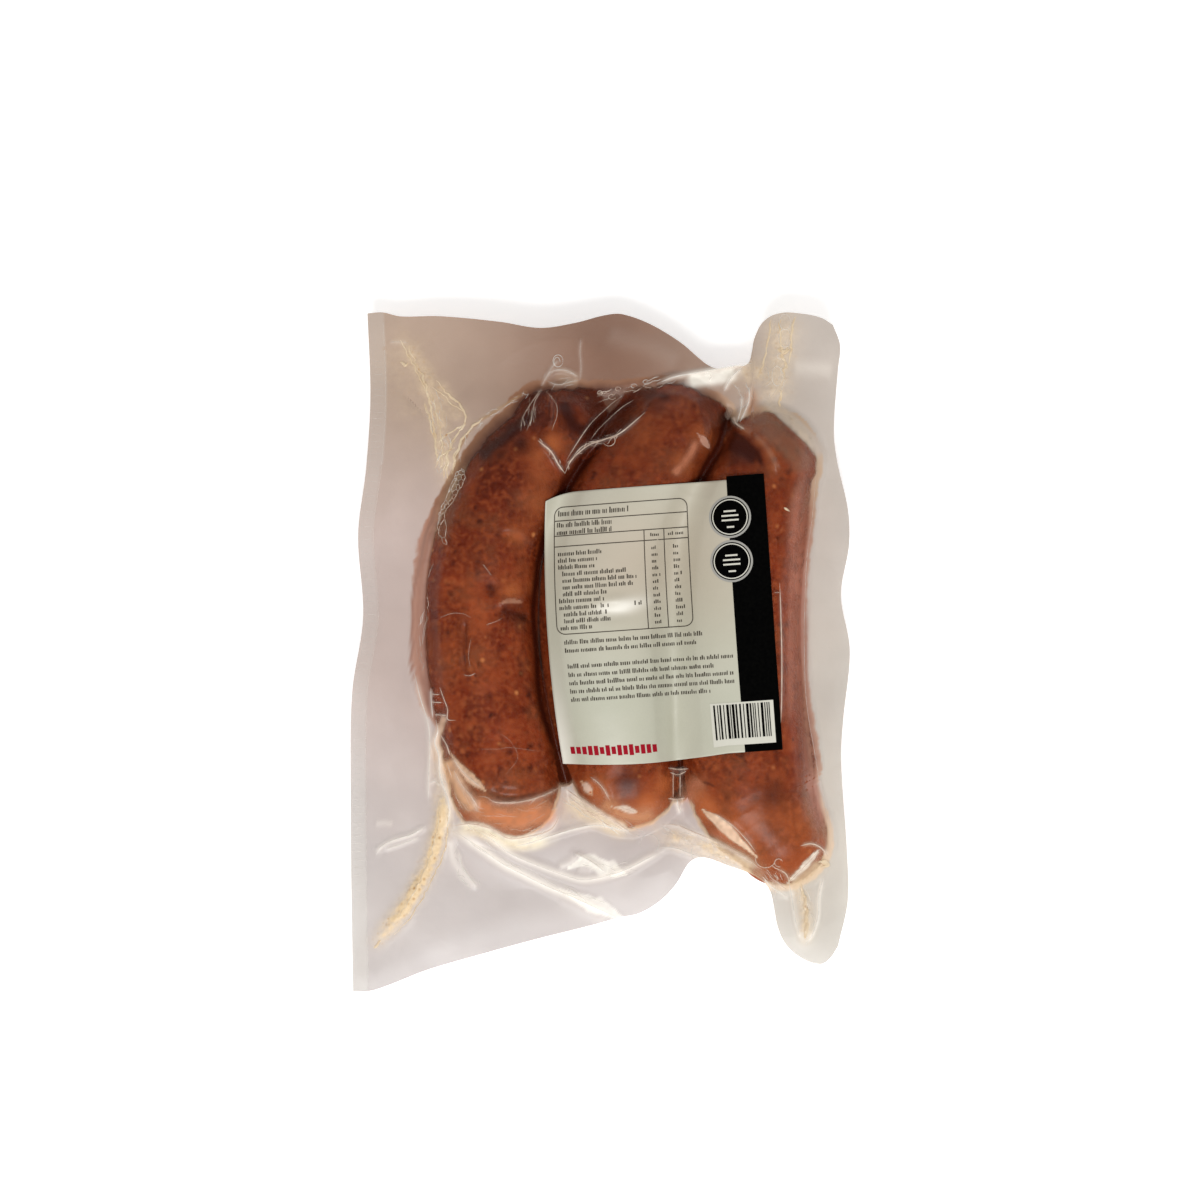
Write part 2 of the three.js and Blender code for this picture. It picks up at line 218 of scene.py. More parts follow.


# Creases of the film: points in the photo, width, rise, radius of the welt on it or 0, and milkiness,
# partly painted highlight along the crease
creases = {
    "collarLeft": ([(542, 388), (531, 404), (523, 418), (521, 432)], 0.8, 0.7, 0.14, 0.15),
    "collarMiddle": ([(542, 390), (535, 402), (532, 418), (527, 431)], 0.7, 0.6, 0.13, 0.15),
    "collarRight": ([(544, 390), (552, 404), (553, 416), (549, 432)], 0.8, 0.5, 0.0, 0.16),
    "collarEdge": ([(546, 391), (556, 404), (557, 416), (552, 431)], 0.6, 0.3, 0.12, 0.1),
    "shoulder": (
        [(456, 470), (456, 456), (463, 442), (475, 424), (490, 416), (508, 404), (526, 393),
         (541, 387)], 0.6, 0.3, 0.0, 0.0,
    ),
    "knotLeft": ([(541, 387), (547, 376), (553, 366), (559, 360)], 0.7, 0.5, 0.12, 0.15),
    "knotUpper": ([(548, 374), (556, 370), (568, 371), (579, 378)], 0.7, 0.6, 0.13, 0.15),
    "knotLower": ([(547, 381), (558, 385), (570, 382), (580, 380)], 0.7, 0.5, 0.12, 0.15),
    "tallLine": ([(581, 338), (580, 352), (581, 366), (580, 381)], 0.6, 0.3, 0.09, 0.1),
    "topArc": ([(604, 331), (622, 339), (650, 347), (682, 364)], 3.2, 0.5, 0.0, 0.05),
    "veeLeft": ([(538, 441), (551, 452), (558, 464), (565, 474)], 0.8, 1.3, 0.22, 0.5),
    "veeRight": (
        [(565, 474), (572, 460), (588, 446), (604, 440), (621, 433), (645, 413)], 1.0, 1.3, 0.19, 0.4,
    ),
    "veeInner": ([(566, 470), (580, 449), (598, 441), (618, 437)], 0.7, 0.5, 0.15, 0.3),
    "veeHigh": ([(566, 462), (573, 450), (590, 425), (608, 407), (622, 396)], 0.8, 0.6, 0.15, 0.2),
    "veeMiddle": ([(590, 441), (600, 428), (620, 409), (634, 400)], 0.8, 0.5, 0.13, 0.15),
    "notchFold": ([(657, 384), (675, 377), (707, 371), (740, 365), (752, 363)], 0.9, 1.1, 0.22, 0.5),
    "notchFan": ([(724, 391), (732, 377), (742, 368)], 0.8, 0.9, 0.2, 0.5),
    "notchLoop": ([(706, 373), (711, 376), (709, 381)], 0.6, 0.4, 0.15, 0.2),
    "pinchLines": ([(749, 387), (749, 400), (745, 411), (740, 422)], 0.7, 0.8, 0.2, 0.35),
    "pinchInner": ([(742, 396), (741, 408), (737, 422)], 0.6, 0.6, 0.16, 0.3),
    "crownRidge": ([(735, 424), (751, 434), (763, 444), (771, 457), (778, 473)], 0.9, 1.1, 0.0, 0.16),
    "crownRidgeTip": ([(732, 417), (736, 424), (744, 430)], 0.7, 0.6, 0.2, 0.5),
    "pinchFloor": ([(724, 412), (727, 420), (730, 430)], 1.8, -1.8, 0.0, 0.0),
    "dentEdge": ([(504, 529), (521, 533), (530, 542), (534, 549)], 1.0, 0.45, 0.0, 0.1),
    "dentShade": ([(503, 534), (517, 539), (525, 548)], 1.4, -0.5, 0.0, 0.0),
    "brow": ([(500, 604), (512, 601), (526, 600)], 1.5, 0.8, 0.0, 0.12),
    "browShade": ([(501, 611), (514, 614), (529, 613)], 1.6, -1.1, 0.0, 0.0),
    "archLeft": ([(440, 618), (452, 613.5), (464, 614), (472, 618)], 0.7, 0.15, 0.09, 0.08),
    "archRight": ([(486, 625), (496, 621.5), (503, 618)], 0.7, 0.15, 0.09, 0.08),
    "spine": ([(466, 620), (466, 640), (467, 660), (467, 674)], 0.9, -0.7, 0.0, 0.0),
    "spineLight": ([(471.5, 638), (469, 655), (471, 668)], 0.6, 0.1, 0.07, 0.08),
    "spineFoot": ([(464, 674.5), (470, 675.5), (476, 673)], 0.6, 0.15, 0.1, 0.15),
    "smallStreak": ([(483, 564), (487, 569), (492, 576)], 0.6, 0.1, 0.08, 0.1),
    "faintLine": ([(480, 748.5), (499, 748.5), (511, 747), (540, 751)], 0.7, 0.1, 0.07, 0.04),
    "faintCurve": ([(499, 732), (511, 741), (518, 757), (507, 773)], 0.7, 0.1, 0.07, 0.04),
    "endFold": ([(486, 796), (497, 801.5), (518, 801.5), (542, 795.5), (562, 786)], 0.9, 0.9, 0.22, 0.4),
    "endFoldShade": ([(490, 789), (503, 794), (521, 794), (541, 788)], 1.5, -0.9, 0.0, 0.0),
    "heelOne": ([(451, 754), (460, 767), (470, 777), (482, 787)], 1.2, 0.6, 0.0, 0.0),
    "heelOneEdge": ([(452, 756), (464, 772), (482, 787.5)], 0.7, 0.3, 0.2, 0.3),
    "heelTwo": ([(454, 770), (461, 783), (471, 795), (479, 807)], 0.9, 0.8, 0.15, 0.3),
    "heelThree": ([(470, 791), (475, 803), (478, 812)], 0.8, 0.6, 0.15, 0.3),
    "leftOuter": (
        [(439, 483), (439, 497), (436, 509), (434, 521), (427, 533), (422, 555), (417, 577),
         (413, 598), (412, 640), (411, 664), (414, 673)], 0.7, 0.5, 0.0, 0.0,
    ),
    "leftLower": (
        [(414, 672), (421, 700), (428, 723), (430, 747), (429, 772), (428, 803)], 0.9, 0.7, 0.15, 0.3,
    ),
    "ladderLeft": ([(431, 688), (431.5, 702), (433, 718)], 0.6, 0.4, 0.12, 0.25),
    "ladderRight": ([(440, 687), (444, 698), (448, 709), (448, 719), (456, 720)], 0.6, 0.4, 0.12, 0.25),
    "ladderOne": ([(431, 694), (440, 694.5)], 0.5, 0.3, 0.13, 0.3),
    "ladderTwo": ([(431, 702), (442, 702.5)], 0.5, 0.3, 0.13, 0.3),
    "ladderThree": ([(435, 714.5), (447, 715)], 0.5, 0.3, 0.16, 0.4),
    "whiteStrand": (
        [(436, 720), (438, 731), (435, 742), (439, 755), (440, 774), (445, 790), (449, 803),
         (449, 819), (445, 833)], 0.9, 0.9, 0.24, 0.5,
    ),
    "strandTwin": ([(441, 735), (447, 745), (450, 755)], 0.7, 0.5, 0.16, 0.3),
    "strandArch": ([(430, 783), (435, 781), (440, 786)], 0.6, 0.4, 0.13, 0.3),
    "heelRim": (
        [(452, 826), (472, 823.5), (493, 829), (509, 838), (530, 836), (551, 829), (561, 812)],
        0.9, 0.8, 0.2, 0.5,
    ),
    "longUpper": (
        [(472, 827), (493, 840), (511, 854), (536, 865), (563, 875), (586, 880), (620, 872),
         (650, 857), (671, 846)], 1.3, 1.0, 0.14, 0.6,
    ),
    "longLower": (
        [(451, 829), (476, 845), (501, 863), (522, 874), (546, 886), (572, 897), (596, 908),
         (616, 917)], 1.7, 1.0, 0.14, 0.75,
    ),
    "longTail": ([(560, 893), (585, 904), (612, 917)], 2.6, 0.4, 0.0, 0.3),
    "sail": ([(574, 853), (588, 860), (604, 871)], 0.9, 1.4, 0.2, 0.5),
    "sailFill": ([(578, 866), (592, 872)], 3.4, 0.4, 0.0, 0.15),
    "sailLeft": ([(558, 868), (572, 862), (576, 855)], 1.3, 0.6, 0.0, 0.4),
    "apexRight": ([(562, 786), (576, 796), (594, 808), (619, 824), (633, 834)], 0.8, 0.9, 0.2, 0.5),
    "apexTwin": ([(566, 794), (580, 805), (601, 820), (615, 829)], 0.7, 0.6, 0.15, 0.3),
    "rimUpper": (
        [(511, 847), (529, 843), (554, 835), (578, 828), (598, 825), (619, 829), (633, 835)],
        0.9, 0.9, 0.2, 0.5,
    ),
    "innerCurl": ([(454, 835), (451, 847), (454, 861), (465, 876), (479, 890)], 1.4, 0.5, 0.0, 0.38),
    "innerCurlLine": ([(458, 850), (463, 868), (479, 890)], 0.7, 0.4, 0.14, 0.3),
    "middleHeel": ([(590, 776), (601, 785), (610, 800)], 0.9, 0.7, 0.16, 0.35),
    "middleHeelSpot": ([(584, 782), (590, 792)], 1.4, 0.5, 0.0, 0.5),
    "middleCurl": ([(620, 806), (626, 809), (636, 812)], 0.7, 0.5, 0.2, 0.4),
    "hTop": ([(668, 767.5), (678, 769), (688, 768.5)], 0.6, 0.6, 0.2, 0.5),
    "hTopLow": ([(670, 772), (678, 774.5), (686, 771)], 0.6, 0.4, 0.15, 0.4),
    "hLeft": ([(673, 771), (673, 784), (673, 797)], 0.6, 0.3, 0.12, 0.2),
    "hRight": ([(680, 774), (680, 786), (680, 797)], 0.6, 0.3, 0.12, 0.2),
    "hFoot": ([(668, 798), (676, 799), (685, 798)], 0.6, 0.5, 0.18, 0.4),
    "hTail": ([(677, 800), (678, 806), (681, 813)], 0.8, 0.6, 0.2, 0.6),
    "juiceUpper": (
        [(662, 824), (676, 825), (688, 830), (716, 841), (741, 855), (761, 869)], 0.8, 0.8, 0.2, 0.35,
    ),
    "juiceLower": (
        [(657, 847), (674, 848), (691, 854), (709, 861), (734, 869), (752, 876)], 0.8, 0.7, 0.16, 0.2,
    ),
    "heelRight": ([(702, 811), (716, 817), (733, 831), (752, 850)], 1.9, 0.5, 0.0, 0.0),
    "heelRightEdge": ([(713, 812), (730, 823), (745, 838), (756, 852)], 0.7, 0.4, 0.15, 0.25),
    "toeLine": ([(789, 881), (803, 867), (816, 853), (821, 847)], 0.9, 0.9, 0.16, 0.4),
    "toeTop": ([(800, 845), (810, 843), (820, 847), (828, 856)], 0.7, 0.6, 0.18, 0.4),
    "dripLeft": ([(789, 884), (792, 898), (795, 919), (801, 941)], 0.7, 0.6, 0.15, 0.3),
    "dripRight": ([(823, 876), (819, 897), (818, 918), (812, 935), (806, 944)], 0.7, 0.7, 0.2, 0.5),
    "toeFoldOne": ([(762, 876), (773, 888), (789, 897)], 0.8, 0.7, 0.18, 0.3),
    "toeFoldTwo": ([(769, 876), (777, 882), (786, 889)], 0.7, 0.6, 0.15, 0.3),
    "toeFoldThree": ([(772, 866), (784, 872), (789, 880)], 0.7, 0.5, 0.15, 0.3),
    "sideLine": ([(779, 583), (780, 610), (781, 650), (781, 690), (780, 727)], 0.6, 0.45, 0.16, 0.35),
    "sideTick": ([(773, 593), (776, 592.5), (780, 592.5)], 0.5, 0.2, 0.1, 0.2),
    "rightRim": (
        [(811, 450), (816, 469), (815, 483), (812, 518), (807, 555), (805, 590), (804, 640),
         (806, 700), (813, 745), (820, 785), (828, 824), (831, 850)], 0.7, 0.15, 0.07, 0.0,
    ),
    "tabBand": ([(792, 367), (812, 368), (835, 370)], 2.6, 0.1, 0.0, 0.2),
    "cornerDash": ([(375, 824), (384, 823), (393, 824)], 1.0, 0.2, 0.0, 0.25),
    "cornerLoop": ([(376, 855), (381, 847), (394, 840), (411, 835), (426, 826)], 0.9, 0.9, 0.2, 0.45),
    "cornerTwin": ([(384, 850), (402, 844), (420, 837)], 0.7, 0.5, 0.13, 0.3),
    "marginLine": ([(403, 392), (416, 406), (430, 419)], 0.9, -0.5, 0.0, 0.0),
    "notchGlare": ([(682, 380), (700, 381), (715, 378), (730, 376)], 2.6, 0.4, 0.0, 0.3),
    "marginStreak": ([(389, 342), (398, 341.5), (408, 342.5)], 0.7, 0.1, 0.1, 0.1),
}
dimples = {   # middle in the photo, radius and depth in millimetres
    "crownHollow": ((744, 447), 4.6, 1.2),
    "pinch": ((727, 415), 2.0, 1.4),
    "browPit": ((492, 589), 2.6, 0.4),
    "dentPit": ((526, 560), 3.0, 0.5),
    "middleBruise": ((627, 784), 4.2, 0.08),
    "rightBruise": ((771, 794), 4.5, 0.2),
    "valleyEnd": ((618, 416), 5.0, 2.2),
    "hPit": ((677, 786), 2.2, 1.6),
}


def photoLines(lines, step=0.6):   # the smooth line of every entry of a table, in millimetres
    return {name: smoothLine(fromPhoto(points), step) for name, (points, *_) in lines.items()}


creaseLines = photoLines(creases)


def overLine(line, x, y, reach):   # distance and place along, worked out only near the line
    x, y = np.atleast_1d(x), np.atleast_1d(y)
    near = (x > line[:, 0].min() - reach) & (x < line[:, 0].max() + reach)
    near &= (y > line[:, 1].min() - reach) & (y < line[:, 1].max() + reach)
    distance = np.full(x.shape, 1e3)
    place = np.zeros(x.shape)
    if near.any():
        distance[near], _, place[near] = nearest(line, x[near], y[near])
    return distance, place


def taper(place):   # full along a crease and fading at its ends
    return smoothStep(0, 0.14, place) * smoothStep(0, 0.14, 1 - place)


def ridge(line, x, y, width, rest, reach=4):   # 1 on a line, less beside it, the share rest at its ends
    distance, place = overLine(line, x, y, reach * width)
    return np.exp(-((distance / width) ** 2)) * (rest + (1 - rest) * taper(place))


def spot(x, y, middle, radius):   # 1 at a place of the photo and fading round it
    (px, py), = fromPhoto([middle])
    return np.exp(-(((x - px) ** 2 + (y - py) ** 2) / radius**2))


def creaseField(x, y):
    x, y = np.atleast_1d(np.asarray(x, float)), np.atleast_1d(np.asarray(y, float))
    fold, milkAndGlare = np.zeros(x.shape), np.zeros(x.shape)
    for name, (_, width, height, _, white) in creases.items():
        distance, place = overLine(creaseLines[name], x, y, 4 * width)
        strength = np.exp(-((distance / width) ** 2)) * (0.25 + 0.75 * taper(place))
        fold += height * strength
        milkAndGlare = np.maximum(milkAndGlare, white * np.exp(-((distance / (0.9 * width)) ** 2)) * taper(place))
    for middle, radius, depth in dimples.values():
        fold -= depth * spot(x, y, middle, radius)
    return fold, milkAndGlare


def lumps(x, y, share):   # the slight unevenness of the links
    return share * (0.3 * softNoise(x, y, 9, 3) + 0.14 * softNoise(x, y, 4, 4))


# Swollen channels of fat in the margin: points in the photo, half-width and rise in millimetres
channels = {
    "lowerLeft": (
        [(443, 790), (443, 812), (441, 830), (434, 850), (424, 874), (412, 898), (399, 917),
         (386, 930), (377, 940)], 2.3, 1.5,
    ),
    "upperLeft": ([(449, 468), (446, 450), (443, 430), (438, 410), (430, 388), (421, 370)], 2.6, 1.0),
    "upperRight": ([(772, 400), (778, 375), (781, 350), (783, 330), (784, 318)], 3.6, 0.9),
    "lowerRight": ([(796, 884), (803, 900), (806, 920), (805, 938)], 1.7, 1.2),
    "juice": ([(664, 834), (690, 843), (715, 852), (740, 864), (758, 874)], 2.4, 0.6),
}
channelLines = photoLines(channels)


def channelField(x, y):
    return sum(
        height * ridge(channelLines[name], x, y, width, 0.3)
        for name, (_, width, height) in channels.items()
    )


fatTree = {   # cream clouds between the films: points in the photo, half-width in millimetres, strength
    "trunk": (
        [(447, 478), (445, 455), (442, 432), (437, 412), (430, 392), (418, 366), (402, 340)], 3.2, 0.6,
    ),
    "branch": ([(462, 420), (454, 411), (444, 396), (436, 382)], 2.4, 0.5),
    "shoulder": ([(458, 462), (462, 440), (474, 423), (490, 414), (510, 402)], 0.8, 0.14),
    "glow": ([(396, 338), (408, 372), (422, 420)], 7.5, 0.2),
    "lace": ([(464, 470), (454, 492), (446, 515), (440, 545)], 2.4, 0.35),
    "channel": (
        [(443, 792), (443, 815), (439, 835), (430, 860), (417, 888), (400, 914), (384, 932),
         (378, 940)], 2.3, 1.6,
    ),
    "channelEdge": ([(436, 786), (437, 812), (434, 838), (426, 860)], 1.4, 0.6),
    "tab": ([(772, 405), (776, 380), (780, 355), (782, 335), (784, 316)], 4.6, 0.55),
    "tabFoot": ([(752, 392), (764, 398), (782, 412), (798, 428), (812, 446)], 1.5, 0.35),
    "notch": ([(742, 378), (752, 372), (765, 372)], 3.4, 0.6),
    "heel": ([(560, 812), (580, 815), (600, 822)], 3.4, 0.35),
    "juice": ([(662, 834), (690, 843), (716, 852), (740, 864), (756, 873)], 3.0, 0.95),
    "toe": ([(792, 886), (800, 880), (812, 872), (822, 862)], 2.2, 0.7),
    "drip": ([(797, 884), (804, 901), (806, 920), (805, 938)], 2.0, 0.95),
    "foot": ([(455, 832), (480, 833), (512, 846), (535, 843)], 1.6, 0.5),
    "kneeling": ([(438, 745), (440, 775), (444, 800), (446, 826)], 2.4, 0.55),
}
fatTreeLines = photoLines(fatTree, 1.5)


def fatField(x, y):
    total = np.zeros(np.shape(x))
    ragged = 0.25 * softNoise(x, y, 1.6, 21) + 0.25 * softNoise(x, y, 3.5, 22)
    for name, (_, width, strength) in fatTree.items():
        body = ridge(fatTreeLines[name], x, y, width, 0.4)
        total = np.maximum(total, strength * np.clip(body * (1 + ragged), 0, 1))
    return total


def filmTop(x, y):   # height of the upper film, and what the film's look needs to know about the place
    share = bulge(x, y, heights["bridge"], heights["roundness"])
    away = outside(x, y)
    fold, milkAndGlare = creaseField(x, y)
    inside = smoothStep(0.35, 0.8, share)
    channel = channelField(x, y)
    z = marginHeight(x, y, away) + heights["film"] + heights["crownRise"] * share
    fat = fatField(x, y)
    z += fold + lumps(x, y, inside) + channel
    z += fat * (heights["fat"] + 0.18 * softNoise(x, y, 1.3, 31) + 0.1 * softNoise(x, y, 2.4, 32))
    return z, {"milkAndGlare": milkAndGlare, "fat": fat}


def addObject(name, data):
    made = bpy.data.objects.new(name, data)
    bpy.context.scene.collection.objects.link(made)
    return made


def meshPiece(name, vertices, faces, material, attributes, edges=()):
    mesh = bpy.data.meshes.new(name)
    mesh.from_pydata([tuple(v) for v in np.asarray(vertices, float) * mm], edges, faces)
    mesh.polygons.foreach_set("use_smooth", [True] * len(mesh.polygons))
    for label, values in attributes.items():
        values = np.asarray(values, np.float32)
        kind, key = ("FLOAT", "value") if values.ndim == 1 else ("FLOAT_COLOR", "color")
        mesh.attributes.new(label, kind, "POINT").data.foreach_set(key, values.ravel())
    if material:
        mesh.materials.append(material)
    mesh.update()
    return addObject(name, mesh)


def gridFaces(rows, columns, start=0, flip=False):
    index = start + np.arange(rows * columns).reshape(rows, columns)
    quads = np.stack([index[:-1, :-1], index[:-1, 1:], index[1:, 1:], index[1:, :-1]], -1).reshape(-1, 4)
    return (quads[:, ::-1] if flip else quads).tolist()


def closedSheet(name, top, bottom, material, attributes):   # two grids of points joined round their edges
    rows, columns = top.shape[:2]
    count = rows * columns
    faces = gridFaces(rows, columns) + gridFaces(rows, columns, count, flip=True)
    index = np.arange(count).reshape(rows, columns)
    ring = np.concatenate([index[0, :-1], index[:-1, -1], index[-1, :0:-1], index[:0:-1, 0]])
    for a, b in zip(ring, np.roll(ring, -1)):
        faces.append([int(b), int(a), int(a + count), int(b + count)])
    points = np.concatenate([top.reshape(-1, 3), bottom.reshape(-1, 3)])
    return meshPiece(name, points, faces, material, attributes)


def finishPiece(piece, slot, *replaced):
    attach(piece, "root")
    if replaced:
        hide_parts(*replaced)


# Node helpers
def setInputs(tree, node, inputs):
    for key, value in inputs.items():
        if isinstance(value, bpy.types.NodeSocket):
            tree.links.new(value, node.inputs[key])
        else:
            node.inputs[key].default_value = value


def addNode(tree, kind, inputs=None, **settings):
    node = tree.nodes.new(kind)
    for key, value in settings.items():
        setattr(node, key, value)
    setInputs(tree, node, inputs or {})
    return node


def maths(tree, operation, *values):
    return addNode(tree, "ShaderNodeMath", dict(enumerate(values)), operation=operation).outputs[0]


def tone(r, g, b):   # a colour as a paint chart gives it, from 0 to 255, made linear
    value = np.array([r, g, b]) / 255
    linear = np.where(value < 0.04045, value / 12.92, ((value + 0.055) / 1.055) ** 2.4)
    return (*linear.tolist(), 1.0)


def newGroup(name, kind, inputs, output):   # inputs as {name: (type, value)} and the output's name and type
    tree = bpy.data.node_groups.new(name, kind)
    for label, (socket, value) in inputs.items():
        made = tree.interface.new_socket(label, in_out="INPUT", socket_type="NodeSocket" + socket)
        if value is not None:
            made.default_value = value
    tree.interface.new_socket(output[0], in_out="OUTPUT", socket_type="NodeSocket" + output[1])
    return tree, addNode(tree, "NodeGroupInput").outputs


def makeMottle():   # patchy mask: cloudy where Low is below High, from 0 to 1
    tree, given = newGroup("mottle", "ShaderNodeTree", {
        "Vector": ("Vector", None), "Size": ("Float", 8.0), "Low": ("Float", 0.35), "High": ("Float", 0.65),
        "Detail": ("Float", 3.0),
    }, ("Mask", "Float"))
    noise = addNode(tree, "ShaderNodeTexNoise", {
        "Vector": given["Vector"], "Scale": maths(tree, "DIVIDE", 1 / mm, given["Size"]),
        "Detail": given["Detail"], "Roughness": 0.55,
    })
    ranged = addNode(tree, "ShaderNodeMapRange", {
        "Value": noise.outputs["Fac"], "From Min": given["Low"], "From Max": given["High"],
    })
    addNode(tree, "NodeGroupOutput", {"Mask": ranged.outputs["Result"]})
    return tree


def makeFlecks():   # scattered round spots: Amount of the cells hold one, of the given Size and Share
    tree, given = newGroup("flecks", "ShaderNodeTree", {
        "Vector": ("Vector", None), "Size": ("Float", 3.0), "Share": ("Float", 0.25),
        "Amount": ("Float", 0.3),
    }, ("Mask", "Float"))
    scale = maths(tree, "DIVIDE", 1 / mm, given["Size"])
    cells = addNode(tree, "ShaderNodeTexVoronoi", {"Vector": given["Vector"], "Scale": scale})
    mark = addNode(tree, "ShaderNodeMapRange", {
        "Value": cells.outputs["Distance"], "From Min": given["Share"], "From Max": 0.04,
    })
    chosen = addNode(tree, "ShaderNodeSeparateColor", {"Color": cells.outputs["Color"]})
    kept = maths(tree, "LESS_THAN", chosen.outputs["Red"], given["Amount"])
    strength = maths(tree, "MULTIPLY", kept, chosen.outputs["Green"])
    addNode(tree, "NodeGroupOutput", {"Mask": maths(tree, "MULTIPLY", mark.outputs["Result"], strength)})
    return tree


mottle = makeMottle()
flecks = makeFlecks()


class Look:   # a material with short ways to build its node tree, sizes in millimetres
    def __init__(self, name):
        self.material = bpy.data.materials.new(name)
        self.material.use_nodes = True
        self.tree = self.material.node_tree
        self.shader = self.tree.nodes["Principled BSDF"]
        self.place = addNode(self.tree, "ShaderNodeTexCoord").outputs["Object"]

    def patches(self, size, low, high, detail=3.0, at=None):
        inputs = {"Vector": at or self.place, "Size": size, "Low": low, "High": high, "Detail": detail}
        return addNode(self.tree, "ShaderNodeGroup", inputs, node_tree=mottle).outputs["Mask"]

    def specks(self, size, share, amount):
        inputs = {"Vector": self.place, "Size": size, "Share": share, "Amount": amount}
        return addNode(self.tree, "ShaderNodeGroup", inputs, node_tree=flecks).outputs["Mask"]

    def value(self, name, output="Fac"):   # a value that the mesh carries
        return addNode(self.tree, "ShaderNodeAttribute", attribute_name=name).outputs[output]

    def times(self, a, b):
        return maths(self.tree, "MULTIPLY", a, b)

    def over(self, factor, below, above, blend="MIX"):
        inputs = {0: factor, 6: below, 7: above}
        return addNode(self.tree, "ShaderNodeMix", inputs, data_type="RGBA", blend_type=blend).outputs[2]

    def bump(self, height, distance):
        inputs = {"Height": height, "Distance": distance * mm}
        return addNode(self.tree, "ShaderNodeBump", inputs).outputs["Normal"]

    def give(self, inputs):
        setInputs(self.tree, self.shader, inputs)
        return self.material


# The links
casingLook = {   # colours of the meat and its skin, and their shine; pale paints light and highlights, dark also paints shade
    "deep": tone(86, 26, 8), "body": tone(126, 47, 18), "warm": tone(148, 70, 36), "dark": tone(54, 15, 5),
    "brown": tone(108, 55, 31), "grain": tone(146, 76, 42), "rust": tone(138, 62, 30),
    "fat": tone(206, 130, 76), "pale": tone(172, 92, 50), "roughness": 0.45,
    "shine": 0.03, "bump": 0.16,
    "stretch": 0.16, "streaks": 0.42, "paleness": 0.72,
}
casingLayers = [   # mixed in one over another: mask, its settings and the colour
    (Look.patches, (7.0, 0.5, 0.9), "warm"), (Look.patches, (11.0, 0.5, 0.7), "brown"),
    (Look.patches, (4.0, 0.58, 0.82), "dark"), (Look.patches, (1.6, 0.48, 0.82), "warm"),
    (Look.patches, (2.2, 0.54, 0.92), "dark"), (Look.patches, (0.8, 0.5, 1.0), "brown"),
    (Look.specks, (2.4, 0.6, 0.14), "grain"), (Look.specks, (3.0, 0.5, 0.25), "dark"),
    (Look.patches, (3.2, 0.5, 0.8), "rust"), (Look.specks, (5.0, 0.2, 0.3), "fat"),
    (Look.specks, (3.1, 0.22, 0.16), "dark"),
]


def makeCasing():
    look = Look("sausageCasing")
    run = addNode(look.tree, "ShaderNodeCombineXYZ", {
        "X": look.times(look.value("roundabout"), mm),
        "Y": look.times(look.value("lengthwise"), casingLook["stretch"] * mm),
    }).outputs["Vector"]
    colour = look.over(look.patches(15.0, 0.36, 0.66), casingLook["deep"], casingLook["body"])
    streaks = look.times(look.patches(4.5, 0.42, 0.78, at=run), casingLook["streaks"])
    colour = look.over(streaks, colour, casingLook["warm"])
    for mask, settings, name in casingLayers:
        colour = look.over(mask(look, *settings), colour, casingLook[name])
    # painted light: the lighter lower ends and the painted highlights
    colour = look.over(look.times(look.value("pale"), casingLook["paleness"]), colour, casingLook["pale"])
    # bruises and painted shade
    colour = look.over(look.value("bruiseAndShade"), colour, casingLook["dark"])
    rough = maths(look.tree, "ADD", look.patches(3.0, 0.2, 0.8), look.patches(0.8, 0.2, 0.8))
    return look.give({
        "Base Color": colour, "Roughness": casingLook["roughness"],
        "Specular IOR Level": casingLook["shine"],
        "Normal": look.bump(rough, casingLook["bump"]),
    })


linkMesh = {   # rings and points of a link, and its gaps and swelling in millimetres
    "rings": 190, "foldRings": 40, "around": 120, "capRings": 26, "clear": 0.14, "table": 0.3, "press": 0.9,
}
bruisesAndShade = {   # dark spots: bruises, and painted shade in pits, dents, hollows and valleys; middle in the photo, radius in millimetres and strength
    "middle": ((627, 782), 4.2, 0.8), "right": ((771, 794), 4.8, 0.7), "low": ((770, 830), 3.5, 0.35),
    "pit": ((492, 589), 1.8, 0.7), "brow": ((515, 614), 3.6, 0.65), "hollow": ((741, 450), 4.6, 0.8),
    "pinch": ((727, 418), 2.6, 0.8), "speck": ((510, 751), 1.0, 0.7), "dash": ((525, 710), 1.1, 0.6),
    "valley": ((612, 414), 8.0, 0.5), "collar": ((535, 415), 5.5, 0.25), "crown": ((655, 405), 4.0, 0.35),
    "shoulder": ((521, 445), 3.0, 0.7), "brink": ((501, 456), 2.8, 0.55),
}
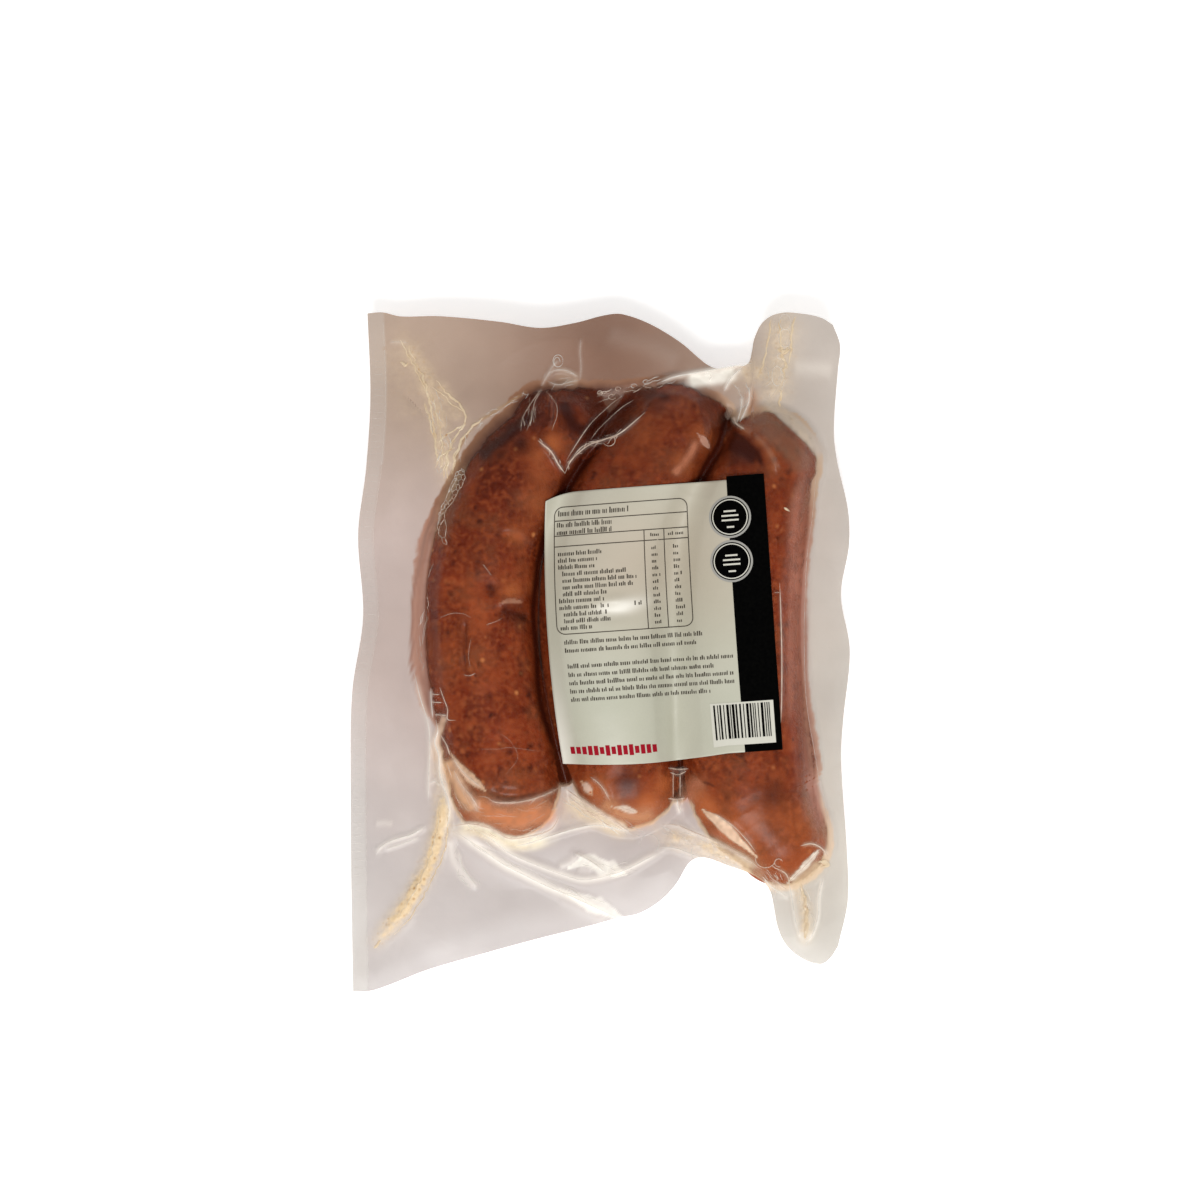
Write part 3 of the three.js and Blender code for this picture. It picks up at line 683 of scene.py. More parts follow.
shadeLines = {   # dark lines on the meat, painted shade along its creases, gaps, dents and hollows: points in the photo, half-width in millimetres, strength
    "spine": ([(466, 618), (466, 640), (465, 672)], 0.5, 0.75),
    "spineTop": ([(461, 622), (463, 634), (462, 648)], 0.45, 0.5),
    "browDent": ([(500, 609), (514, 614), (529, 618)], 1.7, 0.85),
    "notchGap": ([(728, 406), (724, 425), (720, 442), (711, 460), (702, 481)], 1.2, 1.0),
    "valleyGap": (
        [(567, 470), (561, 490), (548, 528), (540, 555), (535, 590), (533, 615), (536, 645),
         (539, 694), (547, 727), (561, 768)], 1.0, 0.85,
    ),
    "hollow": ([(728, 442), (742, 449), (758, 460)], 2.8, 1.0),
    "hollowEdge": ([(731, 431), (744, 441), (756, 454), (762, 468)], 1.0, 0.9),
    "veeDark": ([(584, 446), (594, 434), (612, 414), (640, 398)], 3.0, 0.7),
    "veeTail": ([(640, 400), (655, 396), (672, 400)], 1.6, 0.6),
    "collarDark": ([(530, 412), (533, 425), (535, 434)], 3.4, 0.3),
    "endLine": ([(484, 791), (503, 797), (521, 797), (545, 790)], 0.7, 0.55),
    "toeShade": ([(700, 828), (722, 846), (748, 860)], 1.0, 0.4),
    "dashOne": ([(521, 706), (528, 714)], 0.5, 0.6), "dashTwo": ([(703, 781), (714, 786)], 0.4, 0.8),
    "leftFlank": ([(438, 560), (434, 600), (434, 660)], 1.6, 0.4),
    "shoulderDark": ([(478, 464), (488, 451), (503, 440), (518, 428), (530, 418), (540, 408)], 2.7, 0.8),
    "valleyDark": ([(562, 398), (567, 414), (576, 428), (588, 430), (598, 418)], 2.5, 0.85),
}
shadeLinePaths = photoLines(shadeLines)
highlightSpots = {   # painted highlights on the meat: middle in the photo, radius in millimetres, strength
    "tanHigh": ((540, 474), 4.0, 0.6), "tanLow": ((538, 504), 4.6, 0.7),
    "brow": ((512, 592), 2.8, 1.1), "dent": ((516, 536), 2.6, 0.7), "vee": ((553, 447), 2.8, 1.1),
    "veeFoot": ((538, 456), 2.2, 0.7),
    "crownTwo": ((702, 438), 3.6, 1.1), "crownTwoLow": ((683, 464), 3.0, 1.5),
    "hLeft": ((664, 784), 2.6, 1.1), "hRight": ((694, 792), 3.2, 1.1),
    "heelThreeLow": ((706, 808), 3.0, 1.3), "heelThreeTip": ((728, 832), 3.0, 0.8),
    "heelTwo": ((588, 785), 1.8, 1.2), "heelOne": ((533, 808), 2.0, 0.9),
    "collarRight": ((551, 440), 2.4, 0.6),
    "ridgeHigh": ((746, 431), 1.8, 1.1), "ridgeMiddle": ((759, 442), 1.8, 1.2),
    "ridgeLow": ((770, 454), 1.8, 1.1),
    "ridgeFoot": ((773, 468), 1.6, 0.8), "heelTwoWide": ((602, 790), 4.6, 0.9),
    "heelThree": ((742, 822), 5.0, 0.35),
    "middle": ((640, 430), 4.0, 0.35), "elbow": ((535, 588), 2.2, 0.6), "sole": ((648, 803), 3.8, 1.0),
}


def highlightField(x, y):
    return sum(strength * spot(x, y, middle, radius) for middle, radius, strength in highlightSpots.values())


def bruiseAndShadeField(x, y):
    dark = [
        strength * ridge(shadeLinePaths[name], x, y, width, 0.3, reach=3)
        for name, (_, width, strength) in shadeLines.items()
    ]
    dark += [strength * spot(x, y, middle, radius) for middle, radius, strength in bruisesAndShade.values()]
    return np.maximum.reduce(dark)


def gapShadeField(name, x, y):   # painted shade by how deep a place lies in the gap beside another link
    others = [line for other, line in linkLines.items() if other != name]
    gap = np.minimum.reduce([d - w for d, w, _ in (nearest(line, x, y) for line in others)])
    return 0.7 * smoothStep(1.7, -0.4, gap) + 0.34 * smoothStep(6, 0, gap)


def makeLink(name, points, material, count, shade=0.0):
    line = smoothLine(points, 0.2)
    line = line[np.linspace(0, len(line) - 1, count).round().astype(int)]
    line[:, 2] += linkMesh["press"]
    tangent = np.gradient(line[:, :2], axis=0)
    tangent /= np.linalg.norm(tangent, axis=1)[:, None]
    turn = np.linspace(0, math.pi / 2, linkMesh["capRings"] + 1)[1:-1]
    ends = ((0, -1), (-1, 1))   # of the line, and the way each faces

    def cap(end, sign):   # rings round an end: middle, direction, half-width and share of it
        p, t = line[end], tangent[end]
        return [(p[:2] + sign * t * p[2] * math.sin(a), t, p[2], math.cos(a)) for a in turn]

    rings = cap(*ends[0])[::-1] + [(p[:2], t, p[2], 1.0) for p, t in zip(line, tangent)] + cap(*ends[1])
    angle = np.linspace(-0.5 * math.pi, 1.5 * math.pi, linkMesh["around"], endpoint=False)
    side, up = np.cos(angle), np.sin(angle)
    grid, lengthwise, roundabout = [], [], []
    run, before = 0.0, rings[0][0]
    for middle, direction, width, share in rings:
        run += float(np.linalg.norm(middle - before))
        before = middle
        across = np.array([direction[1], -direction[0]])
        reach = np.where(up > 0, heights["crownRise"], heights["bellyDrop"]) * plumpness(width) * share
        xy = middle + np.outer(side * width * share, across)
        grid.append(np.column_stack([xy, heights["seam"] + reach * up]))
        lengthwise.append(np.full(len(angle), run))
        roundabout.append(angle * width)
    x, y, z = np.moveaxis(np.array(grid), -1, 0)
    fold, _ = creaseField(x.ravel(), y.ravel())
    onTop = smoothStep(0.15, 0.6, np.tile(up, (len(rings), 1)))
    z = z + onTop * (np.minimum(fold, 0).reshape(z.shape) + lumps(x, y, 1.0)) - linkMesh["clear"]
    film, _ = filmTop(x.ravel(), y.ravel())
    z = np.maximum(np.minimum(z, film.reshape(z.shape) - linkMesh["clear"]), linkMesh["table"])
    tips = [[*(line[end, :2] + sign * tangent[end] * line[end, 2]), heights["seam"]] for end, sign in ends]
    points = np.concatenate([np.stack([x, y, z], -1).reshape(-1, 3), tips])
    wrap = np.arange(x.size).reshape(x.shape)
    after = np.roll(wrap, -1, axis=1)
    faces = np.stack([wrap[:-1], wrap[1:], after[1:], after[:-1]], -1).reshape(-1, 4).tolist()
    faces += [[x.size, int(a), int(b)] for a, b in zip(wrap[0], after[0])]
    faces += [[x.size + 1, int(b), int(a)] for a, b in zip(wrap[-1], after[-1])]
    px, py = points[:, 0], points[:, 1]
    # Pale is painted light: lighter towards the lower ends and at the painted highlights, with random pale
    # patches.
    pale = smoothStep(-30, -62, py) * mix(0.8, 0.55, smoothStep(30, 50, px))
    pale = pale + 0.2 * smoothStep(0.2, 0.9, softNoise(px, py, 12, 5)) + highlightField(px, py)
    # Dark is painted shade in gaps, creases, hollows and fold pieces and towards the upper ends, with the
    # bruises.
    dark = np.maximum(bruiseAndShadeField(px, py), shade) + 0.24 * smoothStep(15, 62, py)
    if name in links:
        dark = dark + gapShadeField(name, px, py)
    return meshPiece(name, points, faces, material, {
        "lengthwise": np.append(np.concatenate(lengthwise), [0, run]),
        "roundabout": np.append(np.concatenate(roundabout), [0, 0]),
        "pale": np.clip(pale, 0, 1.4), "bruiseAndShade": np.clip(dark, 0, 1),
    })


print("links")
casing = makeCasing()
linkPieces = [makeLink(name, points, casing, linkMesh["rings"]) for name, points in links.items()]
for name, points in folds.items():
    linkPieces.append(makeLink(name, points, casing, linkMesh["foldRings"], foldShade[name]))

# The film
filmLook = {   # colours of the film from place to place, darker and browner towards the top as painted shade, the veils painting shade over the meat's flanks, and its shine
    "topLeft": tone(170, 147, 130), "topMiddle": tone(126, 90, 70), "left": tone(182, 164, 157),
    "low": tone(182, 173, 170), "right": tone(182, 172, 163), "lowRight": tone(190, 183, 172),
    "veilTop": (tone(78, 34, 18), tone(140, 100, 76)), "veilLeft": (tone(112, 52, 26), tone(168, 120, 98)),
    "veilRight": (tone(124, 64, 38), tone(176, 130, 106)),
    "veilTab": (tone(176, 148, 122), tone(186, 160, 136)),
    "veilLow": (tone(206, 172, 138), tone(214, 188, 160)), "veilHaze": (0.88, 1.0),
    "milkAndGlare": tone(255, 247, 236), "fat": tone(226, 200, 162), "speck": tone(178, 134, 80),
    "cloud": tone(247, 245, 243),
    "weld": tone(202, 196, 190),
    "brightness": 1.09, "roughness": 0.5, "shine": 0.12, "gloss": 0.28, "index": 1.24, "bump": 0.5,
}
filmGrid = {   # columns and rows of the two films, closest over the links
    "columns": (24, 256, 18), "breaks": (0.0, 0.13, 0.94, 1.0), "rows": 330,
    "underColumns": 150, "underRows": 170,
}


def filmPlan(us, vs):   # where the film's grid lies, seen from above
    u, v = np.meshgrid(us, vs)
    x, y = np.zeros(u.shape), np.zeros(u.shape)
    for _ in range(14):
        x = mix(along(outline["left"], y), along(outline["right"], y), u)
        y = mix(y, mix(along(outline["bottom"], x), along(outline["top"], x), v), 0.7)
    return x, y


def blend(a, b, share):   # mixes arrays of colours or places
    return a + (b - a) * share[..., None]


def tintField(x, y):   # the film's colour in the margin, darker and browner towards the top: painted shade
    names = ("topLeft", "topMiddle", "left", "low", "right", "lowRight")
    chart = {name: np.array(filmLook[name]) for name in names}
    upper = blend(chart["left"], chart["topLeft"], smoothStep(25, 85, y))
    colour = blend(chart["low"], upper, smoothStep(-75, -5, y))
    side = blend(chart["lowRight"], chart["right"], smoothStep(-60, 40, y))
    colour = blend(colour, side, smoothStep(30, 55, x))
    top = smoothStep(45, 80, y) * np.exp(-(((x - 2) / 34) ** 2))
    colour = blend(colour, chart["topMiddle"], top)
    cloudy = 0.06 * softNoise(x, y, 19, 51) + 0.04 * softNoise(x + y, y - x, 9, 52)
    return colour * (filmLook["brightness"] + cloudy)[..., None]


def veilField(x, y, share):   # the film's colour between a link, share 0, and the margin, share 1: painted shade over the meat's flanks, painted light towards the lower ends
    names = ("veilLeft", "veilRight", "veilTop", "veilTab", "veilLow")
    left, right, top, tab, low = (blend(*(np.array(c) for c in filmLook[name]), share) for name in names)
    colour = blend(left, right, smoothStep(20, 50, x))
    colour = blend(colour, top, smoothStep(34, 52, y) * smoothStep(42, 30, x))
    colour = blend(colour, tab, smoothStep(28, 48, y) * smoothStep(30, 42, x))
    return blend(low, colour, smoothStep(-46, -30, y))


laceZone = [(465, 468), (457, 489), (451, 505), (446, 521), (445, 540), (443, 560)]
veils = {   # milkier parts of the film, and painted highlights, sheen and shade laid on it: points in the photo, half-width, haze, sharpness and colour
    "crown": (
        [(748, 413), (765, 424), (782, 440), (797, 455), (807, 474)], 2.7, 0.5, 2.2, tone(146, 96, 72),
    ),
    "rightInner": (
        [(812, 476), (805, 520), (800, 560), (799, 620), (800, 680), (804, 740), (812, 800),
         (820, 836)], 2.0, 0.7, 1.8, tone(144, 78, 52),
    ),
    "rightRim": (
        [(806, 600), (805, 650), (805, 700), (809, 750), (817, 800), (824, 832), (827, 852)],
        0.8, 0.85, 2.4, tone(150, 98, 74),
    ),
    "leftLine": (
        [(437, 505), (434, 521), (427, 533), (422, 555), (417, 577), (413, 598), (412, 640),
         (411, 664), (415, 690)], 0.5, 0.8, 3, tone(150, 104, 84),
    ),
    "leftGlare": (
        [(434, 530), (427, 560), (422, 590), (420, 620), (420, 650), (425, 690)],
        0.95, 0.85, 2.0, tone(168, 118, 96),
    ),
    "leftPale": ([(446, 712), (441, 728), (436, 745), (438, 765)], 1.3, 0.75, 2.4, tone(216, 178, 150)),
    "crownRim": (
        [(764, 397), (783, 414), (799, 429), (813, 443), (824, 458)],
        2.0, 0.95, 6, tone(184, 170, 158),
    ),
    "pinchTone": ([(749, 390), (753, 403), (750, 416)], 1.6, 0.6, 2, tone(176, 126, 94)),
    "contour": (
        [(456, 470), (457, 455), (464, 440), (476, 424), (491, 414), (508, 403), (526, 392)],
        0.45, 0.95, 4, tone(158, 124, 94),
    ),
    "notch": ([(686, 381), (706, 378), (722, 376), (738, 372)], 2.3, 0.95, 4, tone(240, 236, 226)),
    "heel": ([(468, 800), (500, 816), (530, 816), (557, 805)], 4.2, 0.56, 2.2, tone(234, 150, 100)),
    "heelLeft": ([(446, 756), (453, 772), (464, 794), (478, 812)], 2.8, 0.72, 2.4, tone(240, 186, 142)),
    "between": ([(566, 797), (585, 811), (610, 825), (630, 833)], 2.8, 0.9, 4, tone(220, 200, 172)),
    "foot": (
        [(455, 830), (480, 829), (505, 841), (530, 843), (552, 838)], 2.2, 0.9, 4, tone(236, 225, 198),
    ),
    "side": ([(806, 770), (813, 800), (821, 832)], 2.2, 0.5, 2.0, tone(182, 124, 104)),
    "middleHeel": ([(600, 800), (620, 812), (640, 817), (656, 810)], 2.6, 0.42, 2.0, tone(236, 172, 124)),
    "rightGlare": (
        [(808, 468), (797, 500), (793, 545), (792, 590), (790, 645), (790, 700), (789, 738)],
        1.8, 0.4, 2.0, tone(200, 124, 96),
    ),
    "knot": ([(556, 372), (568, 378), (580, 380)], 2.2, 0.85, 4, tone(150, 118, 95)),
    "ridge": ([(598, 396), (618, 392), (640, 387), (660, 384)], 1.3, 0.5, 2.5, tone(154, 114, 94)),
    "crownSheen": ([(698, 438), (690, 455), (682, 466), (671, 477)], 1.6, 0.6, 2, tone(196, 124, 92)),
    "heelSheen": ([(684, 802), (690, 789), (701, 778)], 2.4, 0.45, 2, tone(218, 144, 110)),
}
veilLines = photoLines(veils, 1.0)
glares = {   # bright patches with narrow ends: points in the photo, half-width, haze and colour
    "heelStreak": ([(450, 752), (463, 769), (474, 780), (486, 790)], 1.7, 0.85, tone(238, 196, 160)),
    "heelStreakTwo": ([(452, 772), (462, 786), (472, 800), (480, 812)], 1.0, 0.6, tone(232, 180, 140)),
    "wedge": ([(756, 856), (736, 838), (718, 822), (702, 809)], 1.7, 0.88, tone(250, 216, 186)),
    "glint": ([(697, 434), (703, 440), (709, 449)], 1.3, 0.55, tone(236, 184, 160)),
    "sail": ([(568, 868), (586, 861), (604, 867), (626, 874)], 2.6, 0.9, tone(250, 246, 236)),
    "heelSpot": ([(580, 780), (586, 786), (592, 795)], 1.4, 0.75, tone(232, 178, 140)),
    "middleSpot": ([(610, 806), (624, 808), (638, 812)], 1.0, 0.7, tone(246, 226, 204)),
    "toeGlare": ([(786, 884), (802, 868), (818, 850)], 1.3, 0.8, tone(250, 240, 222)),
    "browGlare": ([(496, 605), (508, 601), (524, 602)], 0.9, 0.4, tone(216, 150, 112)),
    "marginFold": ([(560, 890), (590, 903), (622, 918)], 2.4, 0.5, tone(250, 246, 238)),
}
glareLines = photoLines(glares, 1.0)


def addVeils(x, y, haze, tint):
    for name, (_, width, strength, sharpness, colour) in veils.items():
        distance, place = overLine(veilLines[name], x, y, 2.6 * width)
        share = np.exp(-((distance / width) ** sharpness)) * (0.2 + 0.8 * taper(place))
        share = np.clip(share * (1 + 0.2 * softNoise(x, y, 1.5, 25)), 0, 1)
        tint = blend(tint, np.array(colour), share)
        haze = np.maximum(haze, strength * share)
    for name, (_, width, strength, colour) in glares.items():
        distance, place = overLine(glareLines[name], x, y, 1.6 * width)
        reach = width * (0.15 + 0.85 * np.sin(np.pi * place**1.4)) * (1 + 0.3 * softNoise(x, y, 2.0, 26))
        share = smoothStep(1.15, 0.7, distance / reach) * (0.85 + 0.15 * softNoise(x, y, 1.0, 27))
        tint = blend(tint, np.array(colour), share)
        haze = np.maximum(haze, strength * share)
    return haze, tint


def makeFilmLook():
    look = Look("clearFilm")
    tree, fat = look.tree, look.value("fat")
    cloud = look.patches(26.0, 0.3, 0.7)
    colour = look.over(cloud, look.value("tint", "Color"), filmLook["cloud"], "MULTIPLY")
    lumpy = look.times(fat, maths(tree, "MULTIPLY_ADD", look.patches(1.4, 0.3, 0.7, 4.0), 0.5, 0.5))
    colour = look.over(maths(tree, "MINIMUM", lumpy, 1.0), colour, filmLook["fat"])
    grit = look.times(look.times(look.specks(1.5, 0.45, 0.6), fat), 0.8)
    colour = look.over(grit, colour, filmLook["speck"])
    # milky whitening and painted highlights along the creases
    colour = look.over(look.value("milkAndGlare"), colour, filmLook["milkAndGlare"])
    crinkle = look.times(look.value("crinkle"), look.patches(2.6, 0.2, 0.8))
    soft = look.times(look.patches(9.0, 0.2, 0.8), 0.3)
    normal = look.bump(maths(tree, "ADD", crinkle, soft), filmLook["bump"])
    look.give({
        "Base Color": colour, "Roughness": filmLook["roughness"], "Specular IOR Level": filmLook["shine"],
        "Normal": normal,
    })
    body = addNode(tree, "ShaderNodeMixShader", {
        0: look.value("haze"), 1: addNode(tree, "ShaderNodeBsdfTransparent").outputs[0],
        2: look.shader.outputs[0],
    })
    gloss = addNode(tree, "ShaderNodeBsdfGlossy", {"Roughness": filmLook["gloss"], "Normal": normal})
    mirror = addNode(tree, "ShaderNodeFresnel", {"IOR": filmLook["index"], "Normal": normal}).outputs[0]
    front = maths(tree, "SUBTRACT", 1.0, addNode(tree, "ShaderNodeNewGeometry").outputs["Backfacing"])
    both = addNode(tree, "ShaderNodeMixShader", {
        0: look.times(mirror, front), 1: body.outputs[0], 2: gloss.outputs[0],
    })
    tree.links.new(both.outputs[0], tree.nodes["Material Output"].inputs["Surface"])
    return look.material


filmReach = {   # how far the film bridges from the meat to the margin, millimetres
    "low": 0.6, "left": 4.4, "upperLeft": 3.5, "middle": 2.6, "right": 2.0,
}
filmHaze = {   # how much of what lies under the film it hides
    "low": 0.74, "high": 0.92, "fat": 0.92, "milkAndGlare": 0.9, "gap": 0.12, "under": (0.03, 0.3),
    "underRim": 0.25,
}


def makeFilmUpper(material):
    breaks = filmGrid["breaks"]
    us = [np.linspace(a, b, n, endpoint=False) for a, b, n in zip(breaks, breaks[1:], filmGrid["columns"])]
    x, y = filmPlan(np.concatenate(us + [[1.0]]), np.linspace(0, 1, filmGrid["rows"] + 1))
    px, py = x.ravel(), y.ravel()
    z, place = filmTop(px, py)
    fat, milkAndGlare = place["fat"], place["milkAndGlare"]
    edge, two = meatEdge(px, py)
    edge = edge + 0.35 * softNoise(px, py, 2.2, 23) + 0.2 * softNoise(px, py, 0.9, 24)
    upper = mix(filmReach["left"], filmReach["upperLeft"], smoothStep(34, 46, py))
    upper = mix(upper, filmReach["middle"], smoothStep(-20, -6, px))
    reach = mix(filmReach["low"], upper, smoothStep(-24, -13, py))
    reach = mix(reach, filmReach["right"], smoothStep(38, 48, px))
    margin = smoothStep(reach, reach + mix(0.8, 0.35, smoothStep(36, 50, py)), edge)
    # nearly opaque beside the meat, so that the veils' painted shade shows
    veiled = mix(*filmLook["veilHaze"], smoothStep(30, 46, py)) * smoothStep(-0.5, 0.7, edge)
    haze = mix(veiled, mix(filmHaze["low"], filmHaze["high"], smoothStep(-70, 70, py)), margin)
    haze = haze * mix(1.0, filmHaze["gap"], smoothStep(6.5, 3.5, two) * smoothStep(3.5, 1.5, edge))
    haze = np.maximum(haze, filmHaze["fat"] * fat)
    haze = 1 - (1 - haze) * (1 - filmHaze["milkAndGlare"] * milkAndGlare)
    tint = blend(tintField(px, py), veilField(px, py, smoothStep(-0.6, reach, edge)), 1 - margin)
    haze, tint = addVeils(px, py, haze, tint)
    weld = px < along(outline["left"], py) + heights["weldWidth"]
    share = mix(0.85, 0.3, smoothStep(-80, 0, py))[weld]
    tint[weld] = blend(tint[weld], np.array(filmLook["weld"]), share)
    lace, _ = overLine(smoothLine(fromPhoto(laceZone)), px, py, 12)
    crinkle = np.clip(fat * 1.2 + 0.8 * np.exp(-((lace / 3.0) ** 2)), 0, 1)
    return meshPiece("filmUpper", np.column_stack([px, py, z]), gridFaces(*x.shape), material, {
        "haze": haze, "tint": tint, "fat": fat, "milkAndGlare": milkAndGlare, "crinkle": crinkle,
    })


def makeFilmUnder(material):
    grid = [np.linspace(0, 1, filmGrid[name]) for name in ("underColumns", "underRows")]
    x, y = filmPlan(*grid)
    px, py = x.ravel(), y.ravel()
    share = bulge(px, py, heights["bridge"], heights["roundness"])
    z = marginHeight(px, py, outside(px, py)) - heights["film"] - heights["bellyDrop"] * share
    z = np.maximum(z, heights["underside"])
    haze = mix(*filmHaze["under"], smoothStep(0.42, 0.05, share))
    haze = np.maximum(haze, filmHaze["underRim"] * smoothStep(0.75, 0.3, share))
    blank = np.zeros(len(px))
    return meshPiece("filmUnder", np.column_stack([px, py, z]), gridFaces(*x.shape, flip=True), material, {
        "haze": haze, "tint": tintField(px, py), "fat": blank, "milkAndGlare": blank, "crinkle": blank,
    })


print("film")
clearFilm = makeFilmLook()
filmUpper = makeFilmUpper(clearFilm)
filmUnder = makeFilmUnder(clearFilm)


# Welts, veins and bubbles: thin swept lines on the film
def dressed(tree, given, geometry):   # the end of a geometry tree: real faces with the given material
    real = addNode(tree, "GeometryNodeRealizeInstances", {"Geometry": geometry}).outputs["Geometry"]
    made = addNode(tree, "GeometryNodeSetMaterial", {"Geometry": real, "Material": given["Material"]})
    addNode(tree, "NodeGroupOutput", {"Geometry": made.outputs["Geometry"]})
    return tree


def makeSweepTree():   # a round bar along every line, as thick as the line's points say
    tree, given = newGroup("sweptLines", "GeometryNodeTree", {
        "Geometry": ("Geometry", None), "Thickness": ("Float", 1.0), "Sides": ("Int", 7),
        "Material": ("Material", None),
    }, ("Geometry", "Geometry"))
    curve = addNode(tree, "GeometryNodeMeshToCurve", {"Mesh": given["Geometry"]})
    thick = addNode(tree, "GeometryNodeInputNamedAttribute", {"Name": "thick"}, data_type="FLOAT")
    radius = maths(tree, "MULTIPLY", thick.outputs["Attribute"], given["Thickness"])
    ring = addNode(tree, "GeometryNodeCurvePrimitiveCircle", {"Resolution": given["Sides"], "Radius": mm})
    swept = addNode(tree, "GeometryNodeCurveToMesh", {
        "Curve": curve.outputs["Curve"], "Profile Curve": ring.outputs["Curve"],
        "Scale": radius, "Fill Caps": True,
    })
    return dressed(tree, given, swept.outputs["Mesh"])


def throughTree(piece, tree, **settings):   # a plain mesh of what the node tree makes of the piece
    modifier = piece.modifiers.new(tree.name, "NODES")
    modifier.node_group = tree
    for item in tree.interface.items_tree:
        if item.in_out == "INPUT" and item.name in settings:
            modifier[item.identifier] = settings[item.name]
    made = bpy.data.meshes.new_from_object(piece.evaluated_get(bpy.context.evaluated_depsgraph_get()))
    piece.modifiers.remove(modifier)
    piece.data = made
    return piece


sweepTree = makeSweepTree()


def sweptPiece(name, lines, material, sides=7):   # lines of [x, y, height over the film, radius, boldness]
    every = np.vstack(lines)
    z = filmTop(every[:, 0], every[:, 1])[0] + every[:, 2]
    edges, start = [], 0
    for line in lines:
        edges += [(start + i, start + i + 1) for i in range(len(line) - 1)]
        start += len(line)
    carried = {"thick": every[:, 3], "bold": every[:, 4]}
    piece = meshPiece(name, np.column_stack([every[:, :2], z]), [], None, carried, edges)
    throughTree(piece, sweepTree, Thickness=1.0, Sides=sides, Material=material)
    piece.data.polygons.foreach_set("use_smooth", [True] * len(piece.data.polygons))
    return piece


def laidLine(xy, radius, lift=0.0, ends=0.18, bold=1.0):   # a line on the upper film, thinner at its ends
    place = np.linspace(0, 1, len(xy))
    thick = radius * (0.25 + 0.75 * smoothStep(0, ends, place) * smoothStep(0, ends, 1 - place))
    return np.column_stack([xy, np.full(len(xy), lift), thick, np.full(len(xy), bold)])


def makeWeltLook(name, colour, alpha):
    look = Look(name)
    patch = look.patches(3.0, 0.3, 0.7)
    strength = maths(look.tree, "MULTIPLY_ADD", patch, 0.5 * alpha, 0.6 * alpha)
    return look.give({
        "Base Color": look.over(look.times(patch, 0.3), colour, filmLook["milkAndGlare"]),
        "Alpha": look.times(strength, look.value("bold")), "Roughness": 0.2,
    })


def sideways(line):   # a unit step to the side of a line, at each of its points
    tangent = np.gradient(line, axis=0)
    return np.column_stack([tangent[:, 1], -tangent[:, 0]]) / np.linalg.norm(tangent, axis=1)[:, None]


def wander(xy, size, seed):   # a shift that changes softly from place to place
    return np.column_stack([softNoise(xy[:, 0], xy[:, 1], size, seed + k) for k in (0, 1)])


lace = {   # a net of tiny cells of juice: its two sides in the photo, and its size
    "outer": [(460, 466), (452, 482), (445, 498), (440, 512), (437, 527), (438, 545)],
    "inner": [(471, 466), (464, 484), (456, 499), (450, 512), (448, 530), (447, 552)],
    "seeds": 44, "shortest": 0.3, "longest": 3.6,
}


def makeLace():
    outer, inner = (smoothLine(fromPhoto(lace[name]), 0.5) for name in ("outer", "inner"))
    s, t = rng.uniform(0, 1, lace["seeds"]), rng.uniform(-0.1, 1.1, lace["seeds"])
    pick = lambda line, share: line[np.clip((share * (len(line) - 1)).astype(int), 0, len(line) - 1)]
    seeds = pick(outer, s) * (1 - t[:, None]) + pick(inner, s) * t[:, None]
    _, _, triangles, *_ = delaunay_2d_cdt([Vector(p) for p in seeds], [], [], 0, 0.001)
    middles = [seeds[list(f)].mean(0) for f in triangles]
    byEdge = {}
    for n, f in enumerate(triangles):
        for a, b in zip(f, f[1:] + f[:1]):
            byEdge.setdefault(frozenset((a, b)), []).append(n)
    lines = []
    for pair in byEdge.values():
        if len(pair) == 2:
            a, b = middles[pair[0]], middles[pair[1]]
            if lace["shortest"] < np.linalg.norm(a - b) < lace["longest"]:
                lines.append(laidLine(np.linspace(a, b, 4), rng.uniform(0.08, 0.17), 0.05, 0.01, 0.65))
    return lines


bubbles = {   # rings of air: middle and radii in the photo's pixels, share that shows and its start
    "tabHigh": ((785, 322), (5.5, 8), 1.0, 0.0), "tabMiddle": ((785, 338), (6, 9), 1.0, 0.4),
    "tabLow": ((777, 376), (5, 10), 1.0, 0.9), "tabTiny": ((780, 356), (2.5, 3), 1.0, 0.0),
    "knot": ((558, 361), (5, 6), 1.0, 0.3), "knotInner": ((557, 362), (3, 4.5), 0.7, 2.0),
    "heelLeft": ((649.6, 843.6), (9.5, 9), 0.75, 2.6), "heelRight": ((700.5, 853), (9.5, 9), 0.6, 0.1),
    "toe": ((765, 858), (10, 9), 0.5, 0.2), "toeSmall": ((778, 862), (4, 4), 0.8, 1.0),
    "ridgeOne": ((612, 397), (3.5, 2.5), 0.9, 0.0), "ridgeTwo": ((618, 389), (2.6, 2), 0.9, 1.0),
    "ridgeThree": ((646, 382), (3, 2), 0.8, 0.5), "ridgeFour": ((600, 393), (2.4, 2), 0.9, 2.0),
    "veeRing": ((609, 441), (6, 5.5), 0.8, 4.0), "ridgeFive": ((634, 386), (3, 2), 0.8, 1.5),
}


def bubbleLine(middle, radii, share, start):
    angle = np.linspace(start, start + 2 * math.pi * share, 28)
    ring = np.column_stack([middle[0] + radii[0] * np.cos(angle), middle[1] + radii[1] * np.sin(angle)])
    return laidLine(fromPhoto(ring), 0.13, 0.06, 0.1, 0.6)


